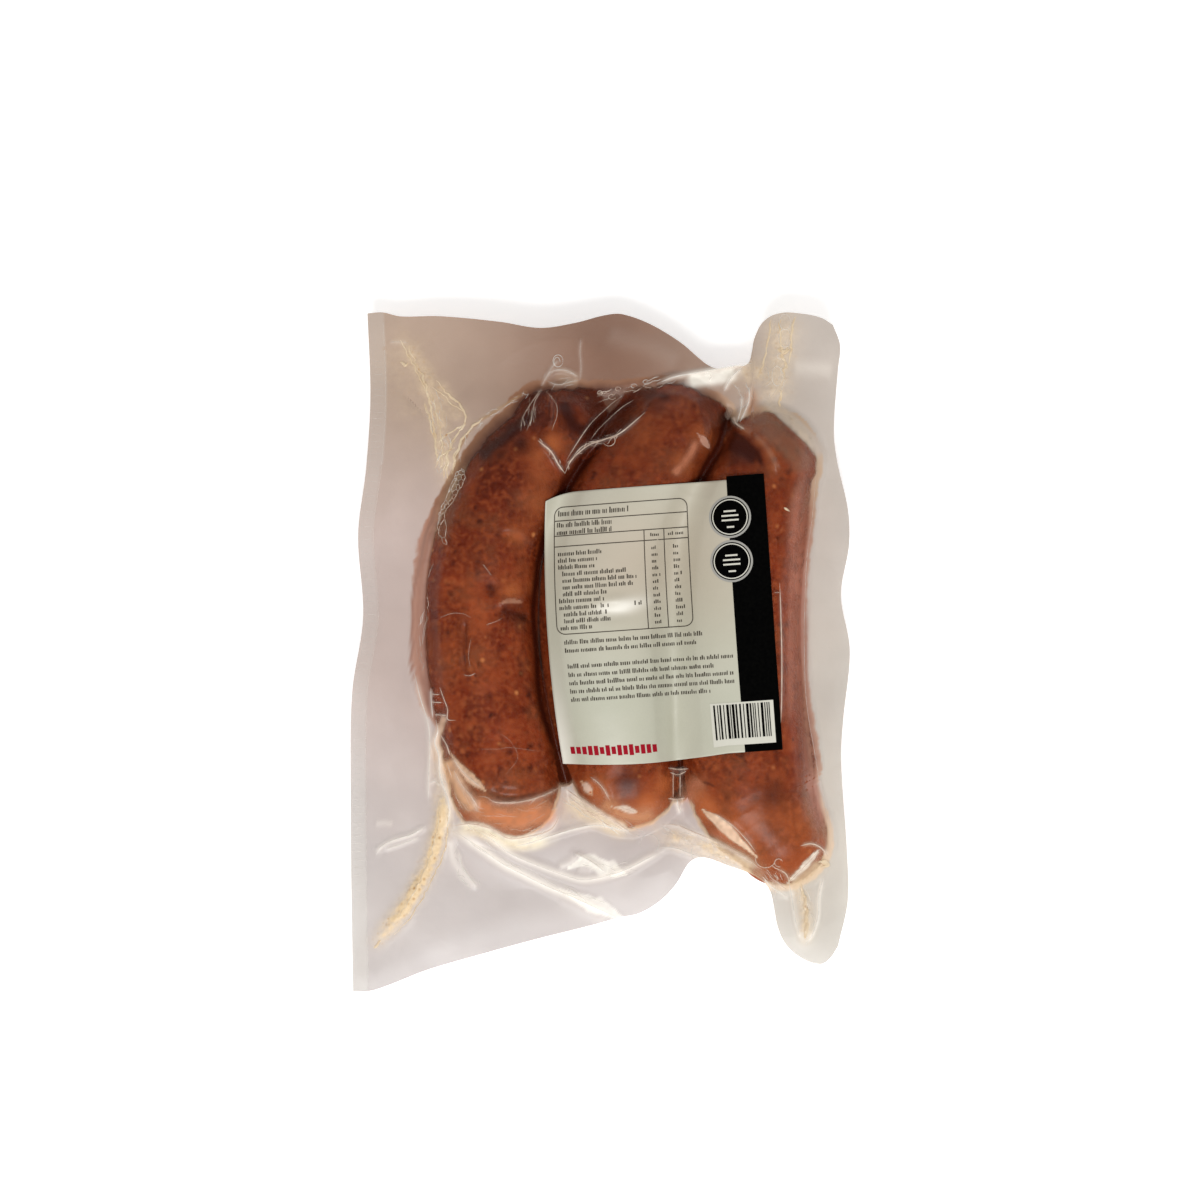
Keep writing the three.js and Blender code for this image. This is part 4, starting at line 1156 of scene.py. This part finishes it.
crinkles = {   # bundles of fine wrinkles: points in the photo, half-width, length, count and boldness
    "heelOneLeft": ([(446, 760), (455, 790), (470, 815)], 2.5, 5.0, 16, 0.5),
    "heelOneFoot": ([(460, 822), (495, 832), (530, 836), (556, 822)], 1.8, 6.0, 20, 0.7),
    "apex": ([(562, 792), (585, 808), (612, 824), (632, 832)], 2.0, 7.0, 18, 0.7),
    "middleFoot": ([(600, 815), (625, 826), (650, 832)], 2.0, 4.0, 10, 0.5),
    "juice": ([(660, 832), (690, 840), (720, 852), (750, 868)], 2.2, 6.0, 18, 0.5),
    "toe": ([(765, 868), (780, 880), (790, 886)], 2.0, 4.0, 9, 0.6),
    "knot": ([(545, 384), (560, 378), (580, 378)], 2.4, 4.0, 10, 0.35),
    "collar": ([(532, 396), (530, 412), (528, 430)], 1.8, 5.0, 10, 0.35),
    "ridge": ([(596, 398), (620, 392), (650, 384), (680, 377)], 1.2, 5.0, 18, 0.4),
    "pinch": ([(738, 380), (746, 395), (744, 412)], 2.2, 5.0, 12, 0.5),
    "tab": ([(776, 318), (778, 345), (776, 380), (765, 400)], 3.4, 5.0, 18, 0.35),
    "leftEdge": ([(437, 560), (428, 600), (420, 640), (422, 680)], 1.2, 6.0, 14, 0.3),
    "shoulderEdge": ([(458, 466), (466, 440), (482, 420), (508, 404), (530, 392)], 0.8, 3.0, 30, 0.4),
    "tree": ([(446, 474), (443, 440), (436, 410), (428, 385)], 2.6, 5.0, 26, 0.5),
    "heelCap": ([(466, 800), (500, 813), (530, 813), (558, 800)], 4.5, 7.0, 20, 0.35),
    "curl": ([(455, 838), (454, 858), (466, 876), (479, 890)], 1.6, 5.0, 12, 0.6),
    "longFold": ([(470, 838), (510, 862), (560, 886), (610, 910)], 1.4, 9.0, 14, 0.6),
    "sail": ([(560, 872), (585, 864), (610, 870), (640, 866)], 2.0, 5.0, 12, 0.6),
    "veeRight": ([(564, 474), (574, 459), (590, 446), (606, 440), (624, 431)], 0.9, 3.0, 14, 0.6),
    "veeLeft": ([(538, 441), (551, 453), (564, 473)], 0.7, 2.6, 7, 0.6),
    "tip": ([(798, 886), (806, 905), (808, 930)], 2.2, 5.0, 10, 0.5),
}


def crinkleLines(points, width, length, count, bold):
    line = smoothLine(fromPhoto(points), 0.5)
    lines = []
    for _ in range(count):
        many = max(4, int(length * rng.uniform(0.4, 1.2) / 0.5))
        start = rng.integers(0, max(1, len(line) - many))
        part = line[start:start + many]
        offset = rng.uniform(-width, width) + rng.uniform(-0.8, 0.8) * np.linspace(-1, 1, len(part))
        xy = part + sideways(part) * offset[:, None]
        xy = xy + 0.3 * wander(xy, 1.1, int(rng.integers(100, 999)))
        lines.append(laidLine(xy, rng.uniform(0.07, 0.18), 0.04, 0.3, bold * rng.uniform(0.7, 1.4)))
    return lines


print("welts")
# The welts are raised lines on the creases, crinkles and bubble rims, painted white as highlights; the
# margin look also draws the weld marks.
weltLook = makeWeltLook("filmWelt", tone(232, 204, 182), 0.7)
marginWeltLook = makeWeltLook("marginWelt", tone(250, 246, 238), 0.65)
faint = {
    "knotLeft": 0.4, "knotUpper": 0.45, "knotLower": 0.45, "toeLine": 0.7, "juiceUpper": 0.6,
    "juiceLower": 0.6,
    "archLeft": 0.3, "archRight": 0.4, "spineLight": 0.3, "spineFoot": 0.5, "smallStreak": 0.4,
    "faintLine": 0.2,
    "faintCurve": 0.2, "endFold": 0.45, "heelThree": 0.4, "middleHeel": 0.5, "rightRim": 0.5,
    "veeHigh": 0.5, "veeMiddle": 0.5, "veeInner": 0.6, "collarLeft": 0.5, "collarMiddle": 0.5,
    "collarEdge": 0.4,
    "shoulder": 0.5, "tallLine": 0.4, "notchLoop": 0.5, "marginStreak": 0.5, "heelRightEdge": 0.5,
    "sideTick": 0.4,
}
weltLines = [
    laidLine(creaseLines[name], radius, bold=faint.get(name, 0.9))
    for name, (_, _, _, radius, _) in creases.items() if radius > 0
]
weltLines += [bubbleLine(*bubble) for bubble in bubbles.values()] + makeLace()
weltLines += [line for bundle in crinkles.values() for line in crinkleLines(*bundle)]
middles = np.array([line[len(line) // 2, :2] for line in weltLines])
onMeat = meatEdge(middles[:, 0], middles[:, 1])[0] < 0.5
overMeat = [line for line, over in zip(weltLines, onMeat) if over]
beside = [line for line, over in zip(weltLines, onMeat) if not over]
filmWelts = sweptPiece("filmWelts", overMeat, weltLook)
marginWelts = sweptPiece("marginWelts", beside, marginWeltLook)

# Veins of fat between the films: points in the photo, radius in millimetres
veins = {
    "treeOne": (
        [(436, 468), (437, 454), (435, 432), (432, 414), (430, 400), (424, 380), (420, 371),
         (415, 361)], 0.42,
    ),
    "treeTwo": (
        [(447, 478), (447, 461), (451, 443), (465, 422), (461, 407), (447, 394), (436, 380)], 0.4,
    ),
    "treeThree": ([(441, 470), (443, 452), (441, 436), (438, 420), (435, 404), (429, 388)], 0.35),
    "treeFour": ([(433, 387), (444, 396), (455, 405), (463, 411)], 0.35),
    "treeFive": ([(452, 474), (454, 458), (460, 443), (467, 432), (474, 424), (483, 418)], 0.4),
    "treeSix": ([(438, 444), (446, 436), (456, 430), (466, 424)], 0.3),
    "treeSeven": ([(437, 462), (445, 452), (455, 448)], 0.3),
    "treeEight": ([(444, 480), (445, 466), (448, 452), (456, 441)], 0.35),
    "treeNine": ([(425, 402), (429, 418), (433, 436), (436, 452)], 0.28),
    "treeTen": ([(400, 340), (408, 354), (416, 372), (425, 392)], 0.3),
    "treeTip": ([(415, 361), (411, 352), (409, 346)], 0.25),
    "spot": ([(401, 362), (405, 364), (408, 363)], 0.6),
    "channelLeft": ([(438, 800), (438, 822), (434, 846), (425, 870), (412, 896), (399, 915)], 0.3),
    "channelRight": (
        [(448, 806), (447, 836), (441, 860), (431, 882), (419, 904), (407, 921), (394, 934)], 0.28,
    ),
    "channelTip": ([(381, 940), (377, 945), (373, 949)], 0.5),
    "tabOne": ([(795, 317), (791, 338), (790, 363)], 0.4),
    "tabTwo": ([(771, 319), (768, 338), (763, 363), (758, 378)], 0.32),
    "tabThree": ([(780, 318), (779, 334), (781, 348), (784, 362), (783, 380)], 0.4),
    "tabClump": ([(779, 349), (784, 353), (789, 350)], 0.9),
    "tabStreak": ([(781, 389), (780, 398), (780, 408)], 0.4),
    "tabRagged": ([(788, 347), (782, 358), (787, 366), (781, 374)], 0.35),
    "dripCore": ([(800, 884), (805, 900), (806, 919), (804, 939)], 0.95),
    "toeKnot": ([(817, 862), (822, 861), (825, 865), (820, 868)], 1.1),
    "fleckRight": ([(785, 510), (788, 511)], 0.5),
}


def makeFatLook():
    look = Look("fat")
    colour = look.over(look.patches(3.0, 0.35, 0.7), tone(216, 197, 168), tone(204, 178, 142))
    colour = look.over(look.specks(2.0, 0.3, 0.3), colour, tone(170, 118, 70))
    normal = look.bump(look.patches(1.2, 0.2, 0.8), 0.15)
    return look.give({"Base Color": colour, "Normal": normal, "Roughness": 0.3, "Coat Weight": 0.4})


def veinLines(points, radius):   # a vein as three thinner strands that run together
    strands = [veinLine(points, radius * rng.uniform(0.35, 0.55), rng.uniform(-1, 1, 2)) for _ in range(2)]
    return strands + [veinLine(points, radius * 0.5, np.zeros(2))]


def veinLine(points, radius, aside):
    xy = smoothLine(fromPhoto(points), 0.5) + aside * radius * 1.6
    line = laidLine(xy, radius, -0.15 * radius)
    line[:, 3] *= 1 + 0.45 * softNoise(xy[:, 0], xy[:, 1], 0.9, 41)
    line[:, :2] += 0.42 * wander(xy, 1.2, 42)
    return line


strands = [strand for vein in veins.values() for strand in veinLines(*vein)]
fatVeins = sweptPiece("fatVeins", strands, makeFatLook(), 9)

# The welded strip: a row of small crimp marks
weldMarks = {"pitch": 2.05, "from": 0.14, "to": 0.93, "inset": 0.7, "radius": 0.1}


def makeWeldMarks(material):
    lines = []
    lowY, highY = outline["left"][-1][0], outline["left"][0][0]
    y = mix(lowY, highY, weldMarks["from"])
    while y < mix(lowY, highY, weldMarks["to"]):
        left = float(along(outline["left"], y))
        bold = 0.8 if -66 < y < -44 else 0.4
        tilt = rng.uniform(-0.4, 0.5)
        start = np.array([left + weldMarks["inset"], y])
        end = np.array([left + heights["weldWidth"] - weldMarks["inset"], y + tilt])
        radius = weldMarks["radius"] * bold * rng.uniform(0.7, 1.5)
        lines.append(laidLine(np.linspace(start, end, 7), radius, 0.02, bold=0.6))
        y += weldMarks["pitch"] * rng.uniform(0.8, 1.25)
    ys = np.linspace(lowY + 1, highY - 1, 240)
    edge = along(outline["left"], ys) + heights["weldWidth"]
    lines.append(laidLine(np.column_stack([edge, ys]), 0.16, 0.02, 0.02, 0.3))
    return sweptPiece("weldMarks", lines, material)


weldPiece = makeWeldMarks(marginWeltLook)

# The label. u runs across it from 0 to 1 and v down it from 0 to 1.
label = {
    "corners": [(546, 490.5), (763, 474), (782, 749), (563, 763.5)],   # in the photo, clockwise
    "columns": 120, "rows": 150, "bridge": 8.0, "roundness": 3, "gap": 0.55, "thickness": 0.2,
    "leftBow": 2.2, "bottomBow": 1.4, "cornerDip": 2.5, "dipReach": 0.15, "ink": 0.05, "top": 0.013,
}
labelDents = {   # middle as u and v, radii in millimetres, depth
    "glare": ((0.30, 0.42), (4.6, 1.7), -0.7), "glareUnder": ((0.27, 0.465), (6.0, 2.0), 0.7),
    "fold": ((0.52, 0.88), (1.5, 11.0), 0.75), "shoulder": ((0.1, 0.2), (5.0, 14.0), 0.4),
    "topEdge": ((0.36, 0.0), (10.0, 4.0), 0.5), "valley": ((0.6, 0.3), (4.0, 16.0), 0.3),
}
labelGlow = {   # warm light and glare on the paper: middle as u and v, reach across and down
    "warmth": (0.38, 0.28, 0.35, 0.26), "glare": (0.34, 0.445, 0.1, 0.026), "slant": 0.12,
}


def onLabel(u, v, lift=0.0):
    upperLeft, upperRight, lowerRight, lowerLeft = fromPhoto(label["corners"])
    u, v = np.asarray(u, float), np.asarray(v, float)
    top = upperLeft + (upperRight - upperLeft) * u[..., None]
    bottom = lowerLeft + (lowerRight - lowerLeft) * u[..., None]
    xy = top + (bottom - top) * v[..., None]
    x = xy[..., 0] - label["leftBow"] * 4 * v * (1 - v) * (1 - u)
    y = xy[..., 1] - label["bottomBow"] * smoothStep(0.8, 1.0, v) * np.sin(np.pi * np.clip(u / 0.75, 0, 1))
    y = y - label["cornerDip"] * np.clip(1 - u / label["dipReach"], 0, 1) ** 2 * smoothStep(0.06, 0.0, v)
    away = outside(x, y)
    share = bulge(x, y, label["bridge"], label["roundness"])
    z = marginHeight(x, y, away) + heights["film"] + heights["crownRise"] * share + label["gap"] + lift
    for (du, dv), (rx, ry), depth in labelDents.values():
        (mx, my), = fromPhoto([mixCorner(du, dv)])
        z = z - depth * np.exp(-(((x - mx) / rx) ** 2 + ((y - my) / ry) ** 2))
    return np.stack([x, y, z], -1)


def mixCorner(u, v):
    a, b, c, d = (np.array(p, float) for p in label["corners"])
    return mix(mix(a, b, u), mix(d, c, u), v)


def makePaper():
    look = Look("labelPaper")
    colour = look.over(look.patches(30.0, 0.3, 0.7), tone(180, 180, 162), tone(190, 188, 172))
    colour = look.over(look.times(look.patches(0.6, 0.3, 0.7), 0.12), colour, tone(164, 164, 146))
    colour = look.over(look.times(look.value("warmth"), 0.7), colour, tone(182, 166, 148))
    colour = look.over(look.times(look.value("glare"), 0.8), colour, tone(236, 232, 222))
    normal = look.bump(look.patches(12.0, 0.2, 0.8), 0.12)
    return look.give({"Base Color": colour, "Normal": normal, "Roughness": 0.42})


def makeInk(name, colour):
    look = Look(name)
    worn = look.times(look.patches(0.9, 0.35, 0.75), 0.03)
    colour = look.over(worn, colour, tone(60, 58, 52))
    return look.give({"Base Color": colour, "Roughness": 0.6, "Specular IOR Level": 0.0})


def makeLabelSheet(material):
    u, v = np.meshgrid(np.linspace(0, 1, label["columns"]), np.linspace(1, label["top"], label["rows"]))
    mu, mv, ru, rv = labelGlow["warmth"]
    warmth = np.exp(-(((u - mu) / ru) ** 2 + ((v - mv) / rv) ** 2))
    warmth = warmth + 0.5 * smoothStep(0.5, 0.8, u) * smoothStep(0.8, 0.4, v)
    warmth = np.clip(np.tile(warmth.ravel(), 2), 0, 1)
    mu, mv, ru, rv = labelGlow["glare"]
    glare = np.exp(-(((u - mu) / ru) ** 2 + ((v - mv - labelGlow["slant"] * (mu - u)) / rv) ** 2))
    glare += 0.75 * smoothStep(0.09, 0.01, u) * smoothStep(0.55, 0.95, v)
    shared = {"warmth": warmth, "glare": np.tile(np.clip(glare, 0, 1).ravel(), 2)}
    return closedSheet("labelSheet", onLabel(u, v), onLabel(u, v, -label["thickness"]), material, shared)


def inkPatches(name, patches, material, lift):   # printed fields: (u, v) grids laid on the label
    vertices, faces = [], []
    for u, v in patches:
        start = sum(len(part) for part in vertices)
        vertices.append(onLabel(u, v, lift).reshape(-1, 3))
        faces += gridFaces(*u.shape, start)
    return meshPiece(name, np.concatenate(vertices), faces, material, {})


labelWidth, labelHeight = 64.5, 80.0   # of the label as seen from above, millimetres


def field(u0, u1, v0, v1, step=1.2):   # a printed rectangle
    across = max(2, int((u1 - u0) * labelWidth / step) + 2)
    down = max(2, int((v1 - v0) * labelHeight / step) + 2)
    return np.meshgrid(np.linspace(u0, u1, across), np.linspace(v1, v0, down))


def rule(points, thickness=0.27, step=1.2):   # a printed line through (u, v) points
    corners = np.array(points, float) * [labelWidth, labelHeight]
    runs = []
    for a, b in zip(corners, corners[1:]):
        runs.append(np.linspace(a, b, max(2, int(np.linalg.norm(b - a) / step) + 2)))
    line = np.vstack(runs)
    line = line[np.append(True, np.linalg.norm(np.diff(line, axis=0), axis=1) > 1e-6)]
    aside = sideways(line) * thickness / 2
    pair = np.stack([line - aside, line + aside])
    return pair[..., 0] / labelWidth, pair[..., 1] / labelHeight


def roundedFrame(u0, u1, v0, v1, radius=2.4):
    ru, rv = radius / labelWidth, radius / labelHeight
    corners = (   # middle of each and where its arc starts, in half turns
        (u1 - ru, v0 + rv, -0.5), (u1 - ru, v1 - rv, 0.0), (u0 + ru, v1 - rv, 0.5), (u0 + ru, v0 + rv, 1.0),
    )
    points = []
    for cu, cv, start in corners:
        for a in np.linspace(start, start + 0.5, 7):
            points.append((cu + ru * math.cos(a * math.pi), cv + rv * math.sin(a * math.pi)))
    return points + points[:1]


def disc(u, v, radius, inner=0.0, sides=40):
    angle = np.linspace(0, -2 * math.pi, sides)
    rings = np.linspace(max(inner, 0.01), radius, 5)[:, None]
    return u + rings * np.cos(angle) / labelWidth, v + rings * np.sin(angle) / labelHeight


table = {   # the printed table: edges, rules, rows and columns as u and v
    "left": 0.044, "right": 0.645, "top": 0.067, "bottom": 0.531, "title": 0.117, "head": 0.172,
    "rows": 0.211,
    "firstColumn": 0.447, "secondColumn": 0.5365, "firstRow": 0.239, "pitch": 0.0246,
    "names": 0.06, "indent": 0.018, "values": (0.478, 0.575),
}
seals = {   # the two round signs: their middles and radii in millimetres
    "places": [(0.835, 0.148), (0.831, 0.308)], "outer": 6.1, "black": 5.5, "line": 5.15, "inner": 4.85,
}
bars = {   # the bars: edges as u and v, and how many parts each bar has
    "left": 0.703, "right": 0.958, "top": 0.825, "bottom": 0.948, "parts": 16,
    "patch": (0.69, 0.972, 0.818, 0.972),
}


def makeStampTree():   # small flat marks, one on each point, sized by the point's own values
    tree, given = newGroup("stampedMarks", "GeometryNodeTree", {
        "Geometry": ("Geometry", None), "Weight": ("Float", 1.0), "Material": ("Material", None),
    }, ("Geometry", "Geometry"))
    square = {"Size X": 1.0, "Size Y": 1.0, "Vertices X": 2, "Vertices Y": 2}
    mark = addNode(tree, "GeometryNodeMeshGrid", square)
    size = addNode(tree, "GeometryNodeInputNamedAttribute", {"Name": "size"}, data_type="FLOAT_VECTOR")
    scaled = addNode(tree, "ShaderNodeVectorMath", {
        0: size.outputs["Attribute"], "Scale": given["Weight"],
    }, operation="SCALE")
    placed = addNode(tree, "GeometryNodeInstanceOnPoints", {
        "Points": given["Geometry"], "Instance": mark.outputs["Mesh"], "Scale": scaled.outputs["Vector"],
    })
    return dressed(tree, given, placed.outputs["Instances"])


stampTree = makeStampTree()


def stampedPiece(name, marks, material, lift):   # marks of u, v, and width and height in millimetres
    u, v, width, height = np.array(marks, float).T
    flat = np.zeros(len(u))
    mesh = bpy.data.meshes.new(name)
    mesh.from_pydata(np.column_stack([u * labelWidth, -v * labelHeight, flat]).tolist(), [], [])
    sizes = np.column_stack([width, height, flat + 1]).astype(np.float32)
    mesh.attributes.new("size", "FLOAT_VECTOR", "POINT").data.foreach_set("vector", sizes.ravel())
    piece = throughTree(addObject(name, mesh), stampTree, Weight=1.0, Material=material)
    places = np.zeros(len(piece.data.vertices) * 3, np.float32)
    piece.data.vertices.foreach_get("co", places)
    x, y, _ = places.reshape(-1, 3).T
    laid = onLabel(x / labelWidth, -y / labelHeight, lift) * mm
    piece.data.vertices.foreach_set("co", laid.astype(np.float32).ravel())
    piece.data.update()
    return piece


def dummyWords(u0, u1, v, height=1.12):   # a line of meaningless small marks in word-like runs
    marks = []
    x, end = u0 * labelWidth, u1 * labelWidth
    while x < end:
        for _ in range(rng.integers(3, 10)):
            if x > end:
                break
            width = rng.uniform(0.24, 0.4)
            tall = height * rng.choice([0.8, 0.9, 0.9, 1.25])
            raised = v - (tall - height) / 2 / labelHeight
            marks.append(((x + width / 2) / labelWidth, raised, width, tall * rng.uniform(0.85, 1.0)))
            x += width + rng.uniform(0.14, 0.26)
        x += 0.45
    kept = []
    for mark in marks:   # the glare hides those near its middle
        if math.hypot((mark[0] - 0.33) / 0.11, (mark[1] - 0.44) / 0.035) > rng.uniform(0.4, 1.1):
            kept.append(mark)
    return kept


headLines = [   # words over the rows of the table: from u, to u, v and their height
    (0.06, 0.38, 0.092, 1.45), (0.055, 0.3, 0.134, 1.25), (0.055, 0.3, 0.161, 1.25),
    (0.475, 0.51, 0.192, 0.85), (0.555, 0.62, 0.192, 0.85),
]
rowLengths = (0.2, 0.17, 0.16, 0.28, 0.33, 0.31, 0.19, 0.2, 0.36, 0.26, 0.2, 0.14)
indentedRows = (3, 4, 5, 6, 9, 10)
footLines = [   # words under the table: from u, to u and v
    (0.072, 0.68, 0.562), (0.072, 0.66, 0.592), (0.078, 0.81, 0.65), (0.078, 0.72, 0.681),
    (0.078, 0.8, 0.711), (0.078, 0.81, 0.741), (0.078, 0.7, 0.771),
]


def makePrint():
    lines = [rule(roundedFrame(table["left"], table["right"], table["top"], table["bottom"]))]
    for v in (table["title"], table["head"], table["rows"]):
        lines.append(rule([(table["left"], v), (table["right"], v)]))
    for u in (table["firstColumn"], table["secondColumn"]):
        lines.append(rule([(u, table["head"]), (u, table["bottom"])]))
    words = []
    for line in headLines:
        words += dummyWords(*line)
    for row, length in enumerate(rowLengths):
        v = table["firstRow"] + row * table["pitch"]
        start = table["names"] + (table["indent"] if row in indentedRows else 0.0)
        words += dummyWords(start, start + length, v)
        for u in table["values"]:
            words += dummyWords(u, u + rng.uniform(0.018, 0.035), v, 0.9)
    for line in footLines:
        words += dummyWords(*line)
    return lines, words


def makeBars():
    marks = []
    x, end = bars["left"] * labelWidth, bars["right"] * labelWidth
    height = bars["bottom"] - bars["top"]
    while x < end:
        width = rng.choice([0.28, 0.28, 0.5, 0.72])
        for k in range(bars["parts"]):
            v = bars["top"] + height * (k + 0.5) / bars["parts"]
            tall = height * labelHeight / bars["parts"] * 1.02
            marks.append(((x + width / 2) / labelWidth, v, width, tall))
        x += width + rng.choice([0.3, 0.36, 0.6])
    return marks


print("label")
inks = {name: makeInk(name + "Ink", colour) for name, colour in {
    "black": tone(4, 4, 4), "red": tone(150, 24, 38), "pale": tone(204, 202, 190),
    "rim": tone(158, 156, 150), "grey": tone(76, 70, 62),
}.items()}
ink = label["ink"]
ruled, words = makePrint()
redMarks = [(0.055 + 0.0265 * k, 0.95, 1.25, rng.uniform(1.8, 2.9)) for k in range(15)]
sealRims, sealFields, sealRings = (
    [disc(u, v, *(seals[name] for name in names)) for u, v in seals["places"]]
    for names in (("outer",), ("black",), ("line", "inner"))
)
sealMarks = [
    (u + du / labelWidth, v + dv / labelHeight, 0.72, 0.5)
    for u, v in seals["places"] for dv, many in ((-1.7, 5), (-0.4, 7), (0.9, 7), (2.9, 3))
    for du in (np.arange(many) - (many - 1) / 2) * 0.7
]
labelPieces = [
    makeLabelSheet(makePaper()),
    inkPatches("labelBand", [field(0.828, 1.0, 0.0, 1.0)], inks["black"], ink),
    inkPatches("labelRules", ruled, inks["grey"], ink),
    stampedPiece("labelWords", words, inks["grey"], ink),
    stampedPiece("labelRedMarks", redMarks, inks["red"], ink),
    inkPatches("labelBarPatch", [field(*bars["patch"], step=0.6)], inks["pale"], 2 * ink),
    stampedPiece("labelBars", makeBars(), inks["black"], 4 * ink),
    inkPatches("labelSealRims", sealRims, inks["rim"], 2 * ink),
    inkPatches("labelSeals", sealFields, inks["black"], 3 * ink),
    inkPatches("labelSealLines", sealRings, inks["pale"], 4 * ink),
    stampedPiece("labelSealMarks", sealMarks, inks["pale"], 4 * ink),
]

# Every piece rides on the pack
for piece in linkPieces:
    finishPiece(piece, "sausage")
finishPiece(filmUpper, "film", "pouch")
for piece in (filmUnder, filmWelts, marginWelts, weldPiece):
    finishPiece(piece, "film")
finishPiece(fatVeins, "fat")
finishPiece(labelPieces[0], "label", "label")
for piece in labelPieces[1:]:
    finishPiece(piece, "ink")

# Floor, light and camera
stage = {   # floor and sky, and the camera: its place and the width it sees, in metres
    "floor": tone(250, 250, 250), "floorSize": 6.0, "glow": 0.42, "world": 0.5,
    "sky": (1.0, 0.99, 0.97, 1.0), "emission": (1.0, 1.0, 1.0, 1.0),
    "camera": (-0.0003, 0.0154, 3.0), "view": 0.3524,
}
lamps = {   # place and aim in metres, size, power in watts
    "bottomBox": ((0.0, -0.8, 1.3), (0.0, 0.0, 0.0), (0.8, 0.6), 17.0),
    "rightBox": ((1.2, 0.0, 0.17), (0.0, 0.0, 0.0), (0.9, 0.2), 1.8),
    "topBox": ((0.0, 1.2, 0.6), (0.0, 0.0, 0.0), (1.2, 0.5), 2.2),
}


def makeStage():
    half = stage["floorSize"] / 2
    mesh = bpy.data.meshes.new("floor")
    corners = [(-half, -half, 0), (half, -half, 0), (half, half, 0), (-half, half, 0)]
    mesh.from_pydata(corners, [], [(0, 1, 2, 3)])
    mesh.materials.append(Look("paleFloor").give({
        "Base Color": stage["floor"], "Roughness": 0.9,
        "Emission Color": stage["emission"], "Emission Strength": stage["glow"],
    }))
    addObject("floor", mesh)
    world = bpy.data.worlds.new("studio")
    world.use_nodes = True
    setInputs(world.node_tree, world.node_tree.nodes["Background"], {
        "Color": stage["sky"], "Strength": stage["world"],
    })
    bpy.context.scene.world = world
    for name, (place, aim, (width, height), power) in lamps.items():
        data = bpy.data.lights.new(name, "AREA")
        data.shape, data.size, data.size_y, data.energy = "RECTANGLE", width, height, power
        lamp = addObject(name, data)
        lamp.location = place
        lamp.rotation_euler = (Vector(aim) - Vector(place)).to_track_quat("-Z", "Y").to_euler()


def makeCamera():
    data = bpy.data.cameras.new("photoView")
    distance = stage["camera"][2] - heights["seam"] * mm
    data.lens = data.sensor_width * distance / stage["view"]
    camera = addObject("photoView", data)
    camera.location = stage["camera"]
    bpy.context.scene.camera = camera


print("stage")
makeStage()
makeCamera()
bpy.context.scene.view_settings.view_transform = "Standard"
